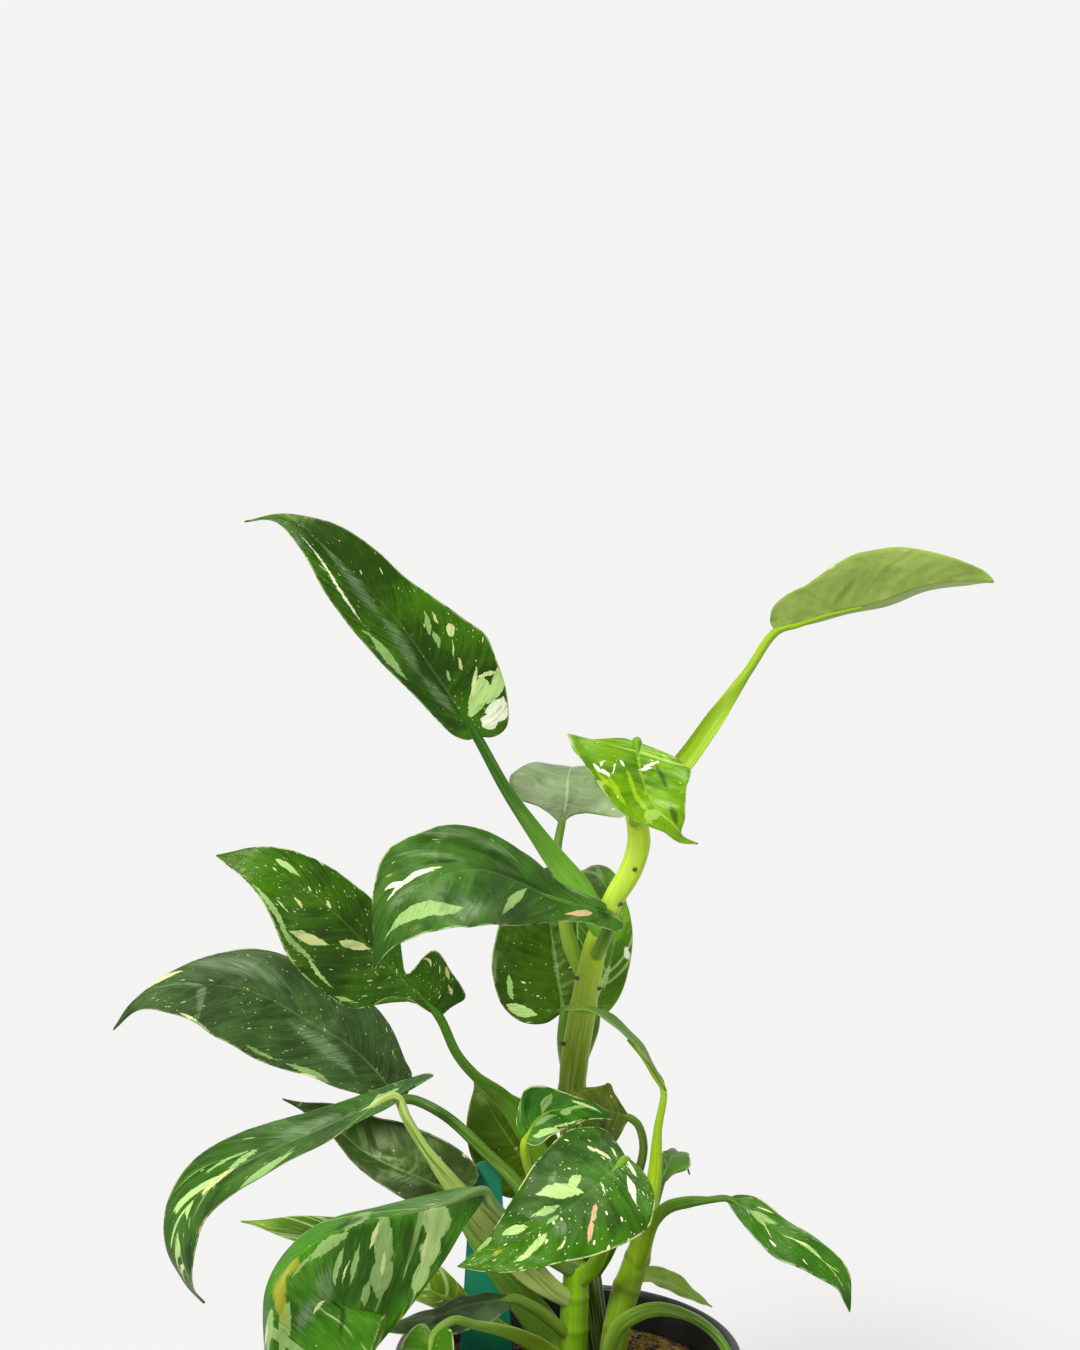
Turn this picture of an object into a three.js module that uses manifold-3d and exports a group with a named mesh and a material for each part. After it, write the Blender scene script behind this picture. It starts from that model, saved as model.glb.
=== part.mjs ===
// A white wizard philodendron in a black nursery pot, in millimetres, with +Z up.
// The origin is at the centre of the pot's base. +X is to the right and -Y is the front.
import * as THREE from "three";
import { mergeVertices } from "three/addons/utils/BufferGeometryUtils.js";
import Module from "manifold-3d";

const wasm = await Module();
wasm.setup();

// Driving dimensions of the pot
const POT_HEIGHT = 118;
const RIM_RADIUS = 65;
const RIM_INNER_RADIUS = 61;
const RIM_SKIRT = 9;
const BASE_RADIUS = 47;
const WALL = 1.6;
const FLOOR = 2.4;
const POT_SIDES = 48;
const DRAIN_HOLES = 6;
const DRAIN_RADIUS = 5;
const DRAIN_RING = 33;

// Driving dimensions of the soil and of the label that stands in it
const SOIL_TOP = 103;
const SOIL_CROWN = 3;
const SOIL_ROUGHNESS = 1.1;
const LABEL_THICK = 1.2;
const LABEL_PLACE = { x: -31, y: 6 };
const LABEL_FOOT = 72;
const LABEL_SHOULDER = 178;
const LABEL_TOP = 186;

// Shared dimensions of the plant
const GAP = 0.32;
const BLADE_THICK = 0.8;
const BLADE_ROWS = 12;
const HALF_COLUMNS = 2;
const MIDRIB_POWER = 2;
const PETIOLE_SIDES = 6;
const PETIOLE_STEP = 9;
const STEM_SIDES = 10;
const STEM_STEP = 12;

// Plain shapes for half the outline of a leaf, from the sinus round the lobe to the tip:
// how far along the midrib and how far out, as shares of its length and half width
const OUTLINES = {
  ovate: [
    [0, 0], [-0.035, 0.32], [0.005, 0.68], [0.1, 0.92], [0.22, 1], [0.35, 0.985],
    [0.49, 0.87], [0.63, 0.67], [0.77, 0.4], [0.9, 0.14], [1, 0],
  ],
  deltoid: [
    [0, 0], [-0.03, 0.4], [-0.04, 0.8], [0.04, 1], [0.16, 0.98], [0.3, 0.86],
    [0.44, 0.68], [0.58, 0.48], [0.72, 0.27], [0.88, 0.09], [1, 0],
  ],
  narrow: [
    [0, 0], [0.0, 0.32], [0.06, 0.62], [0.16, 0.84], [0.28, 0.97], [0.4, 1],
    [0.53, 0.92], [0.66, 0.74], [0.79, 0.47], [0.91, 0.18], [1, 0],
  ],
};

// Stems: points with the radius there, from inside the soil to the growing end
const STEMS = {
  stem_tall: [
    [13, 4, 62, 4], [13, 5, 104, 4.4], [8, 10, 142, 4.8], [4, 14, 176, 5], [2, 14, 211, 5.4],
    [6, 12, 242, 5.2], [11, 8, 268, 4.4], [17, 7, 284, 4], [24, 8, 296, 4.3],
    [27, 8, 307, 4.4], [25, 7, 320, 3.6],
  ],
  stem_front: [[1, -8, 60, 4.5], [1, -8, 104, 5], [2, -8, 130, 5.4], [3, -8, 152, 4.6]],
  stem_right: [
    [13, -4, 64, 4], [14, -4, 96, 4.6], [17, -3, 120, 5], [21, -2, 138, 5.2], [26, -2, 152, 4.8],
    [29, -3, 165, 3.6],
  ],
};

// The leaves, each with the stem that it grows from. Left and right are as its upper side is seen
// with the tip up.
// petiole: points with the radius there and, where it is winged, the half width of its sheath
// rib: points of the midrib from the petiole to the tip
// left, right: the outline of each half from the sinus round the lobe to the tip, as how far along
// the midrib and how far out from it each point is. A single number is the half width of one of the
// plain shapes, which outlines names and which reaches back past the petiole by lobe.
// fold: how far the halves are lifted from flat, in degrees, down if negative
// wave, waves: height and number of the waves along the edge
// tear: the half that is torn, where along it, how wide and deep the tear is and how far it leans
// face: where the upper side faces, from base to tip
const LEAVES = {
  leaf_upper_left: {
    stem: "stem_tall",
    petiole: [
      [13, 6, 272, 3, 3.4], [9, 0, 281, 3, 4.4], [4, -6, 291, 2.8, 4.6], [-4, -9, 301, 2.7, 4.2],
      [-12, -11, 312, 2.5, 3.2], [-23, -12, 328, 2.2], [-34, -14, 348, 1.8],
    ],
    rib: [
      [-34, -14, 348], [-49, -20, 371], [-59, -24, 386], [-77, -28, 406], [-91, -29, 419],
      [-104, -27, 426], [-117, -26, 425],
    ],
    left: [
      [0, 0], [1, 5], [7, 10], [19, 13], [31, 15], [43, 17.5], [55, 18], [67, 17], [79, 14.5],
      [90, 10], [101, 5], [112, 1], [121, 0],
    ],
    right: [
      [0, 0], [-4, 4.5], [-4, 10], [0, 14.5], [9, 19], [20, 21.5], [30, 23], [40, 19], [50, 15],
      [61, 12.5], [74, 12], [87, 9.5], [99, 5], [110, 1.5], [121, 0],
    ],
    fold: 24, wave: 0.8, waves: 2,
    face: [[0.3, -0.9, 0.3], [0.2, -0.93, 0.2], [0.1, -0.9, 0.4]],
  },
  leaf_upper_right: {
    stem: "stem_tall",
    petiole: [
      [26, 8, 312, 3, 3.4], [34, 9, 325, 2.8, 4.2], [45, 9, 338, 2.4, 4], [56, 11, 353, 2.2, 3.6],
      [69, 14, 371, 1.8], [81, 18, 387, 1.7],
    ],
    rib: [
      [81, 18, 387], [98, 12, 393], [118, 4, 398], [131, -2, 403], [144, -10, 405], [155, -18, 404],
    ],
    left: [
      [0, 0], [1, 5], [3, 9], [11, 12], [22, 14], [34, 15], [46, 18], [58, 21], [69, 20], [78, 13],
      [85, 0],
    ],
    right: [
      [0, 0], [-1, 3], [0, 7], [3, 11], [10, 14], [19, 16], [30, 20], [41, 22.5], [52, 20.5],
      [63, 15], [74, 9.5], [81, 5], [85, 0],
    ],
    fold: 25, wave: 0.5, waves: 2,
    face: [[0, 0.5, 0.87], [0, 0.5, 0.87], [0.2, 0.4, 0.87]],
  },
  leaf_young: {
    stem: "stem_tall",
    petiole: [[25, 4, 314, 2.2], [27, -2, 327, 2], [27, -8, 338, 1.8], [25, -12, 346, 1.6]],
    rib: [
      [25, -12, 345], [26, -22, 334], [29, -30, 325], [35, -34, 317], [39, -34, 312],
      [46, -32, 310],
    ],
    left: [
      [0, 0], [2, 4], [6, 9], [11, 14], [16, 18], [22, 16.5], [31, 13], [38, 7], [42, 3], [46, 1.5],
      [52, 0],
    ],
    right: [
      [0, 0], [-1, 4], [0.5, 12.5], [1, 20], [0, 26], [3, 26.5], [9, 25], [14, 21], [20, 17],
      [27, 12.8], [35, 6.5], [41, 2.5], [52, 0],
    ],
    fold: 12, wave: 1.6, waves: 2,
    face: [[0.1, -0.7, 0.7], [0.05, -0.8, 0.5], [0.1, -0.9, 0.4]],
  },
  leaf_upper_back: {
    stem: "stem_tall",
    petiole: [
      [7, 12, 252, 2.4], [1, 12, 267, 2.6, 3], [-2, 13, 281, 2.2], [-4, 20, 300, 1.8],
      [-2, 26, 312, 1.6],
    ],
    rib: [[-2, 26, 312], [0, 40, 319], [1, 56, 328], [3, 74, 331], [5, 90, 328]],
    left: [
      [0, 0], [2, 3], [6, 7], [9, 11], [12, 18.5], [19, 22.5], [27, 23.5], [35, 20], [46, 14.5],
      [58, 8], [69, 0],
    ],
    right: [
      [0, 0], [4, 2], [9, 6], [9, 11], [7, 16], [2, 21], [4, 25], [14, 26], [27, 24], [40, 18],
      [54, 10], [69, 0],
    ],
    fold: 8, wave: 0.8, waves: 2,
    face: [[0, -0.5, 0.85], [0, -0.4, 0.9], [0, 0.1, 1]],
  },
  leaf_center: {
    stem: "stem_tall",
    petiole: [[10, 9, 262, 2.6], [13, -2, 270, 2.6], [15, -10, 278, 2.2], [14, -17, 283, 1.8]],
    rib: [
      [13, -20, 284], [8, -22, 286], [-4, -26, 289], [-17, -34, 296], [-30, -44, 302],
      [-42, -54, 302], [-53, -62, 298], [-60, -67, 291], [-64, -69, 281], [-66, -68, 271],
    ],
    left: [
      [0, 0], [-8, 2], [-5, 6], [5, 7], [18, 8], [31, 14], [44, 19], [57, 23], [72, 24.5], [88, 25],
      [98, 16], [105, 7], [115, 0],
    ],
    right: [
      [0, 0], [0, 3], [8, 5], [20, 9], [32, 13], [45, 16], [58, 19.5], [70, 19], [80, 19.5],
      [88, 14], [97, 8], [106, 3], [115, 0],
    ],
    fold: 0, wave: 1.2, waves: 2,
    face: [[0, -0.8, 0.6], [0, -0.8, 0.6], [-0.8, -0.6, 0.1]],
  },
  leaf_mid_left: {
    stem: "stem_tall",
    petiole: [
      [4, 14, 170, 3], [-8, 8, 184, 3, 3.6], [-16, 3, 199, 2.8, 4.2], [-24, 0, 211, 2.4, 3.4],
      [-34, -7, 221, 2], [-41, -13, 231, 1.8], [-47, -20, 246, 1.7],
    ],
    rib: [
      [-47, -20, 246], [-55, -28, 257], [-68, -38, 272], [-81, -46, 287], [-92, -50, 297],
      [-106, -52, 305], [-122, -50, 308],
    ],
    left: [
      [0, 0], [8, 2], [17, 4], [24, 8.5], [28, 15], [33, 20], [43, 22], [56, 23], [65, 21.5],
      [74, 18], [84, 12], [94, 7], [108, 0],
    ],
    right: [
      [0, 0], [0, 6], [0, 12], [12, 14], [22, 15.5], [34, 13], [47, 12.5], [60, 11.8], [72, 11],
      [84, 8.8], [96, 4.8], [108, 0],
    ],
    fold: 8, wave: 0.8, waves: 2,
    tear: { side: 1, at: 0.44, wide: 0.04, deep: 0.85, lean: 8 },
    face: [[0.35, -0.85, -0.1], [-0.05, -0.9, 0.4], [-0.1, -0.9, 0.45]],
  },
  leaf_left_large: {
    stem: "stem_tall",
    petiole: [
      [9, 9, 138, 3], [1, 5, 148, 3, 3.6], [-9, 0, 163, 2.8, 3.4], [-19, -3, 180, 2.5],
      [-31, -3, 192, 2.2], [-45, 0, 204, 2], [-57, 5, 209, 1.9], [-66, 8, 210, 1.8],
    ],
    rib: [
      [-66, 8, 210], [-69, 8, 215], [-83, 8, 229], [-99, 7, 239], [-116, 5, 249], [-131, 2, 253],
      [-147, -2, 253], [-161, -7, 248], [-168, -10, 239],
    ],
    left: [
      [0, 0], [-1, 5], [9, 11.5], [20, 17], [31, 19], [42, 21], [54, 23], [68, 23.5], [80, 21.5],
      [90, 15.5], [101, 10.5], [112, 3.5], [125, 0],
    ],
    right: [
      [0, 0], [-3, 5], [0, 11], [10, 16.5], [20, 21.5], [32, 24], [46, 23], [60, 21], [70, 20],
      [80, 16], [90, 12], [100, 7], [110, 2], [125, 0],
    ],
    fold: -4, wave: 0.6, waves: 2,
    face: [[0, -0.4, 0.9], [0, -0.65, 0.7], [0, -0.7, 0.7], [-0.5, -0.7, 0.5]],
  },
  leaf_left_droop: {
    stem: "stem_front",
    petiole: [
      [2, -8, 138, 3], [-6, -14, 145, 3, 4], [-15, -20, 155, 2.8, 5.4], [-28, -27, 172, 2.4, 5.4],
      [-40, -31, 187, 2, 3.6], [-51, -31, 201, 1.9], [-58, -30, 212, 1.8], [-62, -28, 219, 1.8],
    ],
    rib: [
      [-62, -28, 219], [-71, -34, 217], [-88, -50, 213], [-104, -64, 209], [-117, -74, 204],
      [-126, -80, 195], [-128, -82, 184], [-125, -80, 172], [-120, -76, 164],
    ],
    left: [
      [0, 0], [-1, 2], [10, 5], [22, 6], [35, 7], [50, 8], [64, 9.5], [78, 10.5], [90, 11],
      [100, 9], [110, 5], [122, 0],
    ],
    right: [
      [0, 0], [-10, 2], [-18, 4], [-17, 8], [-6, 8.5], [10, 9], [28, 11], [45, 13], [62, 15],
      [78, 14], [92, 8.5], [104, 6], [113, 3], [122, 0],
    ],
    fold: 0, wave: 0.6, waves: 2,
    face: [[0, -0.3, 0.95], [0, -0.35, 0.9], [-0.8, -0.6, 0.1]],
  },
  leaf_left_behind: {
    stem: "stem_front",
    petiole: [
      [1, -8, 118, 3], [-8, -8, 128, 3, 6.2], [-17, -9, 140, 2.8, 6], [-28, -8, 153, 2.4, 4],
      [-38, -5, 165, 2], [-44, -2, 176, 1.8],
    ],
    rib: [
      [-44, -2, 177], [-55, 3, 180], [-77, 12, 187], [-92, 18, 197], [-104, 22, 202],
      [-111, 23, 205],
    ],
    left: 10, right: 17, fold: 6, lobe: [2, 6],
    outlines: ["deltoid", "ovate"], wave: 0.8, waves: 2,
    face: [[0, -0.75, 0.65], [0, -0.75, 0.65], [-0.2, -0.7, 0.7]],
  },
  leaf_front_left: {
    stem: "stem_front",
    petiole: [
      [3, -8, 149, 3], [-4, -15, 156, 2.8, 3.4], [-12, -24, 164, 2.6, 3], [-20, -34, 175, 2.2],
      [-27, -40, 185, 1.9], [-30, -42, 190, 1.8],
    ],
    rib: [
      [-30, -42, 190], [-44, -56, 190], [-57, -66, 190], [-72, -78, 190], [-84, -86, 187],
      [-91, -92, 180], [-94, -96, 169], [-95, -96, 154], [-93, -95, 136], [-89, -91, 118],
      [-83, -86, 104],
    ],
    left: [
      [0, 0], [2, 4], [11, 10.5], [22, 21], [34, 31], [50, 41], [72, 42], [98, 38], [126, 28],
      [147, 13], [162, 0],
    ],
    right: [
      [0, 0], [-2, 4], [2, 9], [16, 13], [36, 13.5], [56, 12.5], [70, 10], [82, 9], [102, 9],
      [125, 6], [146, 2], [162, 0],
    ],
    fold: -44, wave: 1, waves: 2,
    face: [[0.2, -0.7, 0.7], [0, -0.7, 0.7], [-0.7, -0.7, 0.1]],
  },
  leaf_low_left: {
    stem: "stem_front",
    petiole: [
      [1, -8, 109, 2.4], [-8, -11, 118, 2.4], [-18, -17, 128, 2.2], [-29, -24, 138, 1.9],
      [-40, -32, 146, 1.6],
    ],
    rib: [
      [-40, -32, 146], [-53, -30, 153], [-71, -28, 162], [-89, -26, 168], [-106, -26, 172],
      [-118, -26, 174],
    ],
    left: 8, right: 11, fold: 10, lobe: [3, 3],
    outlines: ["narrow", "narrow"], wave: 0.6, waves: 2,
    face: [[0, -0.6, 0.8], [0, -0.6, 0.8], [0, -0.6, 0.8]],
  },
  leaf_front_center: {
    stem: "stem_front",
    petiole: [
      [3, -8, 144, 2.6], [9, -16, 154, 2.4, 3], [14, -32, 172, 2], [18, -52, 193, 1.8],
      [18, -66, 208, 1.7],
    ],
    rib: [
      [18, -66, 209], [11, -78, 206], [2, -89, 202], [-9, -98, 198], [-23, -106, 192],
      [-36, -108, 188],
    ],
    left: [
      [0, 0], [0, 3], [5, 11], [10, 16], [15, 19], [20, 21], [27, 20.5], [35, 18.5], [43, 15.5],
      [55, 10.5], [65, 5], [75, 0],
    ],
    right: [
      [0, 0], [-4, 4], [-9, 11], [-9, 17], [-4, 22], [6, 23], [18, 22], [30, 20], [43, 15], [56, 9],
      [66, 4], [75, 0],
    ],
    fold: -4, wave: 0.5, waves: 2,
    face: [[-0.05, -0.65, 0.75], [-0.05, -0.65, 0.75], [-0.1, -0.7, 0.7]],
  },
  leaf_small_center: {
    stem: "stem_tall",
    petiole: [
      [5, 13, 158, 2.2], [2, 3, 164, 2.2], [-3, -11, 173, 2], [-10, -28, 184, 1.8],
      [-14, -38, 195, 1.6], [-16, -42, 206, 1.5],
    ],
    rib: [
      [-16, -42, 207], [-13, -38, 212], [-8, -33, 215], [-1, -29, 215], [8, -26, 214],
      [16, -24, 210],
    ],
    left: [
      [0, 0], [2, 2.5], [5, 5.5], [9, 8], [13, 10.5], [17, 8.5], [21, 6.5], [26, 4.5], [32, 3],
      [38, 1.5], [42, 0],
    ],
    right: [[0, 0], [0, 4], [3, 7], [8, 9], [14, 9], [20, 8], [26, 6], [32, 4], [37, 2], [42, 0]],
    fold: 14, wave: 0.6, waves: 1,
    face: [[0, -0.8, 0.6], [0, -0.8, 0.6], [0.1, -0.8, 0.6]],
  },
  leaf_curled: {
    stem: "stem_tall",
    petiole: [
      [9, 9, 140, 2.2], [15, 7, 150, 2.2], [20, 3, 164, 2], [25, -2, 180, 1.8],
      [28, -5, 194, 1.6], [26, -7, 203, 1.5], [23, -8, 206, 1.5],
    ],
    rib: [[23, -8, 206], [17, -11, 209], [11, -13, 211], [5, -14, 214], [-1, -13, 215], [-6, -12, 216]],
    left: [[0, 0], [2, 3], [3, 8], [6, 13], [10, 15.5], [14, 14], [17, 9], [20, 5], [25, 2.5], [32, 0]],
    right: [
      [0, 0], [3, 1.5], [6, 4], [9, 7.5], [11, 9.5], [15, 9], [19, 6], [24, 3.5], [28, 1.5],
      [32, 0],
    ],
    fold: 0, wave: 1.4, waves: 2,
    face: [[0, -0.93, 0.35], [0, -0.93, 0.35], [0, -0.9, 0.4]],
  },
  leaf_back_left: {
    stem: "stem_tall",
    petiole: [[6, 13, 150, 2.4], [-2, 16, 157, 2.2], [-9, 22, 166, 2], [-14, 28, 175, 1.8]],
    rib: [[-14, 28, 175], [-21, 30, 185], [-28, 32, 195], [-33, 36, 203], [-37, 42, 208]],
    left: 17, right: 17, fold: 8, lobe: [4, 4],
    outlines: ["ovate", "ovate"], wave: 0.8, waves: 2,
    face: [[-0.2, -0.9, 0.3], [-0.2, -0.9, 0.3], [-0.3, -0.6, 0.7]],
  },
  leaf_right: {
    stem: "stem_right",
    petiole: [
      [24, -2, 146, 2.2], [28, -10, 158, 2.2], [31, -17, 171, 2.1, 2.4], [36, -21, 177.5, 1.9, 2.4],
      [43, -23, 180, 1.7, 2.2], [50, -24, 181, 1.3], [57, -24, 181.5, 1.2],
    ],
    rib: [
      [57, -24, 181], [64, -29, 179], [74, -35, 173], [82, -40, 170], [89, -43, 165],
      [94, -45, 160], [96, -45, 154], [97, -44, 149],
    ],
    left: [[0, 0], [2, 3], [9, 5], [18, 5.5], [27, 5], [36, 5], [44, 4.5], [51, 3], [57, 1], [63, 0]],
    right: [
      [0, 0], [5, 4], [12, 7], [20, 9], [29, 10.5], [38, 8.5], [46, 5.5], [52, 3], [58, 1], [63, 0],
    ],
    fold: 14, wave: 0.4, waves: 2,
    face: [[0.1, -0.75, 0.65], [0.1, -0.75, 0.65], [0.5, -0.75, 0.4]],
  },
  leaf_behind_left: {
    stem: "stem_tall",
    petiole: [[3, 14, 205, 2.2], [0, 24, 214, 2], [-2, 36, 225, 1.8], [-1, 44, 235, 1.7]],
    rib: [
      [-1, 44, 235], [-3, 47, 247], [-5, 51, 260], [-7, 56, 274], [-6, 64, 285], [-3, 74, 292],
    ],
    left: 26, right: 22, fold: 6, lobe: [2, 2],
    outlines: ["ovate", "ovate"], wave: 0.8, waves: 2,
    face: [[0, -0.95, 0.3], [0, -0.9, 0.4], [0, -0.6, 0.8]],
  },
  leaf_behind_right: {
    stem: "stem_tall",
    petiole: [[3, 13, 215, 2], [7, 19, 223, 1.8], [11, 25, 232, 1.6], [12, 28, 239, 1.5]],
    rib: [
      [12, 28, 239], [16, 31, 253], [19, 34, 266], [18, 39, 279], [14, 48, 288], [9, 59, 290],
      [6, 67, 285],
    ],
    left: [[0, 0], [2, 6], [10, 12], [22, 15], [34, 16], [46, 14], [58, 11], [70, 6], [80, 0]],
    right: [[0, 0], [-2, 3], [6, 7], [18, 8], [30, 7], [42, 6], [54, 6], [68, 4], [80, 0]],
    fold: 8, wave: 0.5, waves: 2,
    face: [[0.2, -0.95, 0.1], [0.2, -0.9, 0.3], [0, -0.6, 0.8]],
  },
  leaf_edge_on: {
    stem: "stem_right",
    petiole: [
      [28, -3, 158, 2], [30, -6, 171, 2.6, 3], [32, -8, 186, 2.2, 2.6], [33, -9, 202, 1.6],
      [35, -10, 217, 1.2],
    ],
    rib: [
      [35, -10, 218], [28, -12, 230], [19, -14, 240], [9, -15, 247], [0, -15, 248], [-8, -14, 246],
    ],
    left: 7, right: 6, fold: 10, lobe: [1, 1],
    outlines: ["narrow", "narrow"], wave: 0.3, waves: 2,
    face: [[0.7, -0.1, 0.7], [0.55, -0.1, 0.8], [0, -0.2, 1]],
  },
  leaf_small_back: {
    stem: "stem_right",
    petiole: [[28, -3, 156, 1.8], [32, 8, 164, 1.6], [36, 20, 171, 1.4]],
    rib: [[36, 20, 172], [39, 27, 176], [42, 34, 179], [45, 40, 179], [48, 44, 174], [50, 46, 168]],
    left: [[0, 0], [2, 3], [8, 4], [14, 4], [20, 4], [26, 3], [34, 0]],
    right: [[0, 0], [3, 2.5], [7, 6], [8, 10], [13, 9], [19, 6], [26, 3.5], [34, 0]],
    fold: 14, wave: 0.6, waves: 1,
    face: [[-0.3, -0.6, 0.7], [-0.2, -0.4, 0.8], [0.3, 0.1, 0.9]],
  },
  leaf_over_rim: {
    stem: "stem_right",
    petiole: [[18, -3, 122, 2.2], [20, 10, 124, 2], [24, 24, 128, 1.8], [27, 32, 131, 1.6]],
    rib: [[27, 33, 131], [34, 42, 128], [43, 51, 122], [53, 59, 114], [61, 66, 107]],
    left: [[0, 0], [1, 2.5], [6, 4.5], [15, 5], [25, 5.5], [35, 4.5], [45, 2.5], [54, 0]],
    right: [[0, 0], [2, 1.5], [8, 2.5], [17, 3], [27, 3], [37, 2.5], [46, 1.5], [54, 0]],
    fold: 6, wave: 0.5, waves: 1,
    face: [[-0.2, -0.75, 0.65], [-0.2, -0.75, 0.65], [0, -0.6, 0.8]],
  },
  leaf_front_right: {
    stem: "stem_right",
    petiole: [
      [16, -4, 110, 2.6], [15, -13, 122, 2.6, 3], [19, -21, 135, 2.4, 3], [30, -30, 144, 2.1, 2.8],
      [42, -40, 145.5, 1.8], [50, -50, 143, 1.7], [55, -61, 137, 1.6], [58, -71, 128, 1.6],
    ],
    rib: [
      [58, -71, 128], [63, -79, 116], [67, -85, 101], [70, -88, 84], [71, -88, 66], [70, -85, 50],
    ],
    left: 19, right: 19, fold: 10, lobe: [5, 5],
    outlines: ["ovate", "ovate"], wave: 0.7, waves: 2,
    face: [[0.5, -0.8, 0.3], [0.5, -0.85, 0.1], [0.4, -0.9, 0]],
  },
  leaf_low_front: {
    stem: "stem_front",
    petiole: [
      [1, -8, 110, 2.2], [-3, -17, 120, 2.2, 2.8], [-11, -25, 129, 2.2, 3.2],
      [-21, -38, 139, 1.9, 2.6], [-33, -52, 147.5, 1.6], [-40, -61, 152.5, 1.5],
      [-46, -69, 150.5, 1.4],
    ],
    rib: [[-46, -70, 150], [-48, -76, 142], [-48, -81, 131], [-46, -84, 119], [-42, -85, 107]],
    left: 10, right: 10, fold: 14, lobe: [3, 3],
    outlines: ["ovate", "ovate"], wave: 0.4, waves: 1,
    face: [[-0.3, -0.9, 0.3], [-0.3, -0.95, 0.1], [-0.2, -0.95, 0]],
  },
  leaf_low_dark: {
    stem: "stem_front",
    petiole: [[1, -8, 125, 2.4], [-6, -16, 134, 2.2], [-13, -23, 142, 2], [-20, -28, 147, 1.8]],
    rib: [
      [-20, -28, 147], [-28, -33, 148], [-38, -38, 148], [-46, -41, 146], [-55, -43, 145],
      [-64, -43, 142],
    ],
    left: [[0, 0], [4, 4], [12, 8], [20, 9], [28, 8.5], [36, 7], [43, 4], [49, 0]],
    right: [[0, 0], [3, 3], [10, 5], [18, 5], [26, 4], [34, 4], [42, 3], [49, 0]],
    fold: -6, wave: 0.5, waves: 2,
    face: [[0, -0.45, 0.9], [0, -0.45, 0.9], [-0.3, -0.4, 0.85]],
  },
};

function vector(point) {
  return new THREE.Vector3(point[0], point[1], point[2]);
}

function curveThrough(points) {
  return new THREE.CatmullRomCurve3(points.map(vector));
}

function solidFrom(geometry) {
  const bare = geometry.index ? geometry.clone() : geometry;
  bare.deleteAttribute("normal");
  bare.deleteAttribute("uv");
  const merged = mergeVertices(bare, 1e-4);
  const mesh = new wasm.Mesh({
    numProp: 3,
    vertProperties: Float32Array.from(merged.attributes.position.array),
    triVerts: Uint32Array.from(merged.index.array),
  });
  const solid = new wasm.Manifold(mesh);
  if (solid.volume() > 0) return solid;
  mesh.triVerts.reverse();
  return new wasm.Manifold(mesh);
}

function geometryFrom(solid) {
  const mesh = solid.getMesh();
  const geometry = new THREE.BufferGeometry();
  geometry.setAttribute("position", new THREE.BufferAttribute(mesh.vertProperties, 3));
  geometry.setIndex(new THREE.BufferAttribute(mesh.triVerts, 1));
  geometry.computeVertexNormals();
  return geometry;
}

function closedGeometry(points, triangles) {
  const geometry = new THREE.BufferGeometry();
  const flat = points.flatMap((point) => [point.x, point.y, point.z]);
  geometry.setAttribute("position", new THREE.BufferAttribute(new Float32Array(flat), 3));
  geometry.setIndex(triangles);
  return geometry;
}

// A closed tube through points of the form [x, y, z, radius, half width]. Where a half width is
// given, the section is an ellipse that is flat towards the front, like a sheathed petiole.
function taperedTube(points, sides, step, grow = 0) {
  const curve = curveThrough(points);
  const rings = Math.max(3, Math.ceil(curve.getLength() / step));
  const places = [];
  const triangles = [];
  for (let ring = 0; ring <= rings; ring += 1) {
    const share = ring / rings;
    const at = share * (points.length - 1);
    const from = points[Math.min(Math.floor(at), points.length - 2)];
    const to = points[Math.min(Math.floor(at), points.length - 2) + 1];
    const mix = at - Math.min(Math.floor(at), points.length - 2);
    const radius = THREE.MathUtils.lerp(from[3], to[3], mix) + grow;
    const half = THREE.MathUtils.lerp(from[4] ?? from[3], to[4] ?? to[3], mix) + grow;
    const centre = curve.getPoint(share);
    const tangent = curve.getTangent(share);
    const out = new THREE.Vector3(0, -1, 0);
    out.addScaledVector(tangent, -out.dot(tangent)).normalize();
    const across = new THREE.Vector3().crossVectors(tangent, out);
    for (let side = 0; side < sides; side += 1) {
      const angle = (2 * Math.PI * side) / sides;
      const place = centre.clone().addScaledVector(across, half * Math.cos(angle));
      places.push(place.addScaledVector(out, radius * Math.sin(angle)));
    }
  }
  for (let ring = 0; ring < rings; ring += 1) {
    for (let side = 0; side < sides; side += 1) {
      const next = (side + 1) % sides;
      const low = ring * sides;
      const high = low + sides;
      triangles.push(low + side, low + next, high + next, low + side, high + next, high + side);
    }
  }
  const first = places.push(curve.getPoint(0)) - 1;
  const last = places.push(curve.getPoint(1)) - 1;
  for (let side = 0; side < sides; side += 1) {
    const next = (side + 1) % sides;
    triangles.push(first, next, side);
    triangles.push(last, rings * sides + side, rings * sides + next);
  }
  return solidFrom(closedGeometry(places, triangles));
}

function mixedFace(faces, share) {
  const at = Math.min(share, 0.9999) * (faces.length - 1);
  const from = Math.floor(at);
  return vector(faces[from]).lerp(vector(faces[from + 1]), at - from);
}

// The outline of one half of a leaf in millimetres
function halfOutline(leaf, hand, length) {
  const half = hand === 0 ? leaf.left : leaf.right;
  if (Array.isArray(half)) return half;
  const shape = OUTLINES[leaf.outlines[hand]];
  return shape.map(([along, out], place) => {
    const round = Math.min(1, place / (shape.length - 1) / 0.38);
    return [along * length - leaf.lobe[hand] * Math.sin(Math.PI * round), out * half];
  });
}

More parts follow.
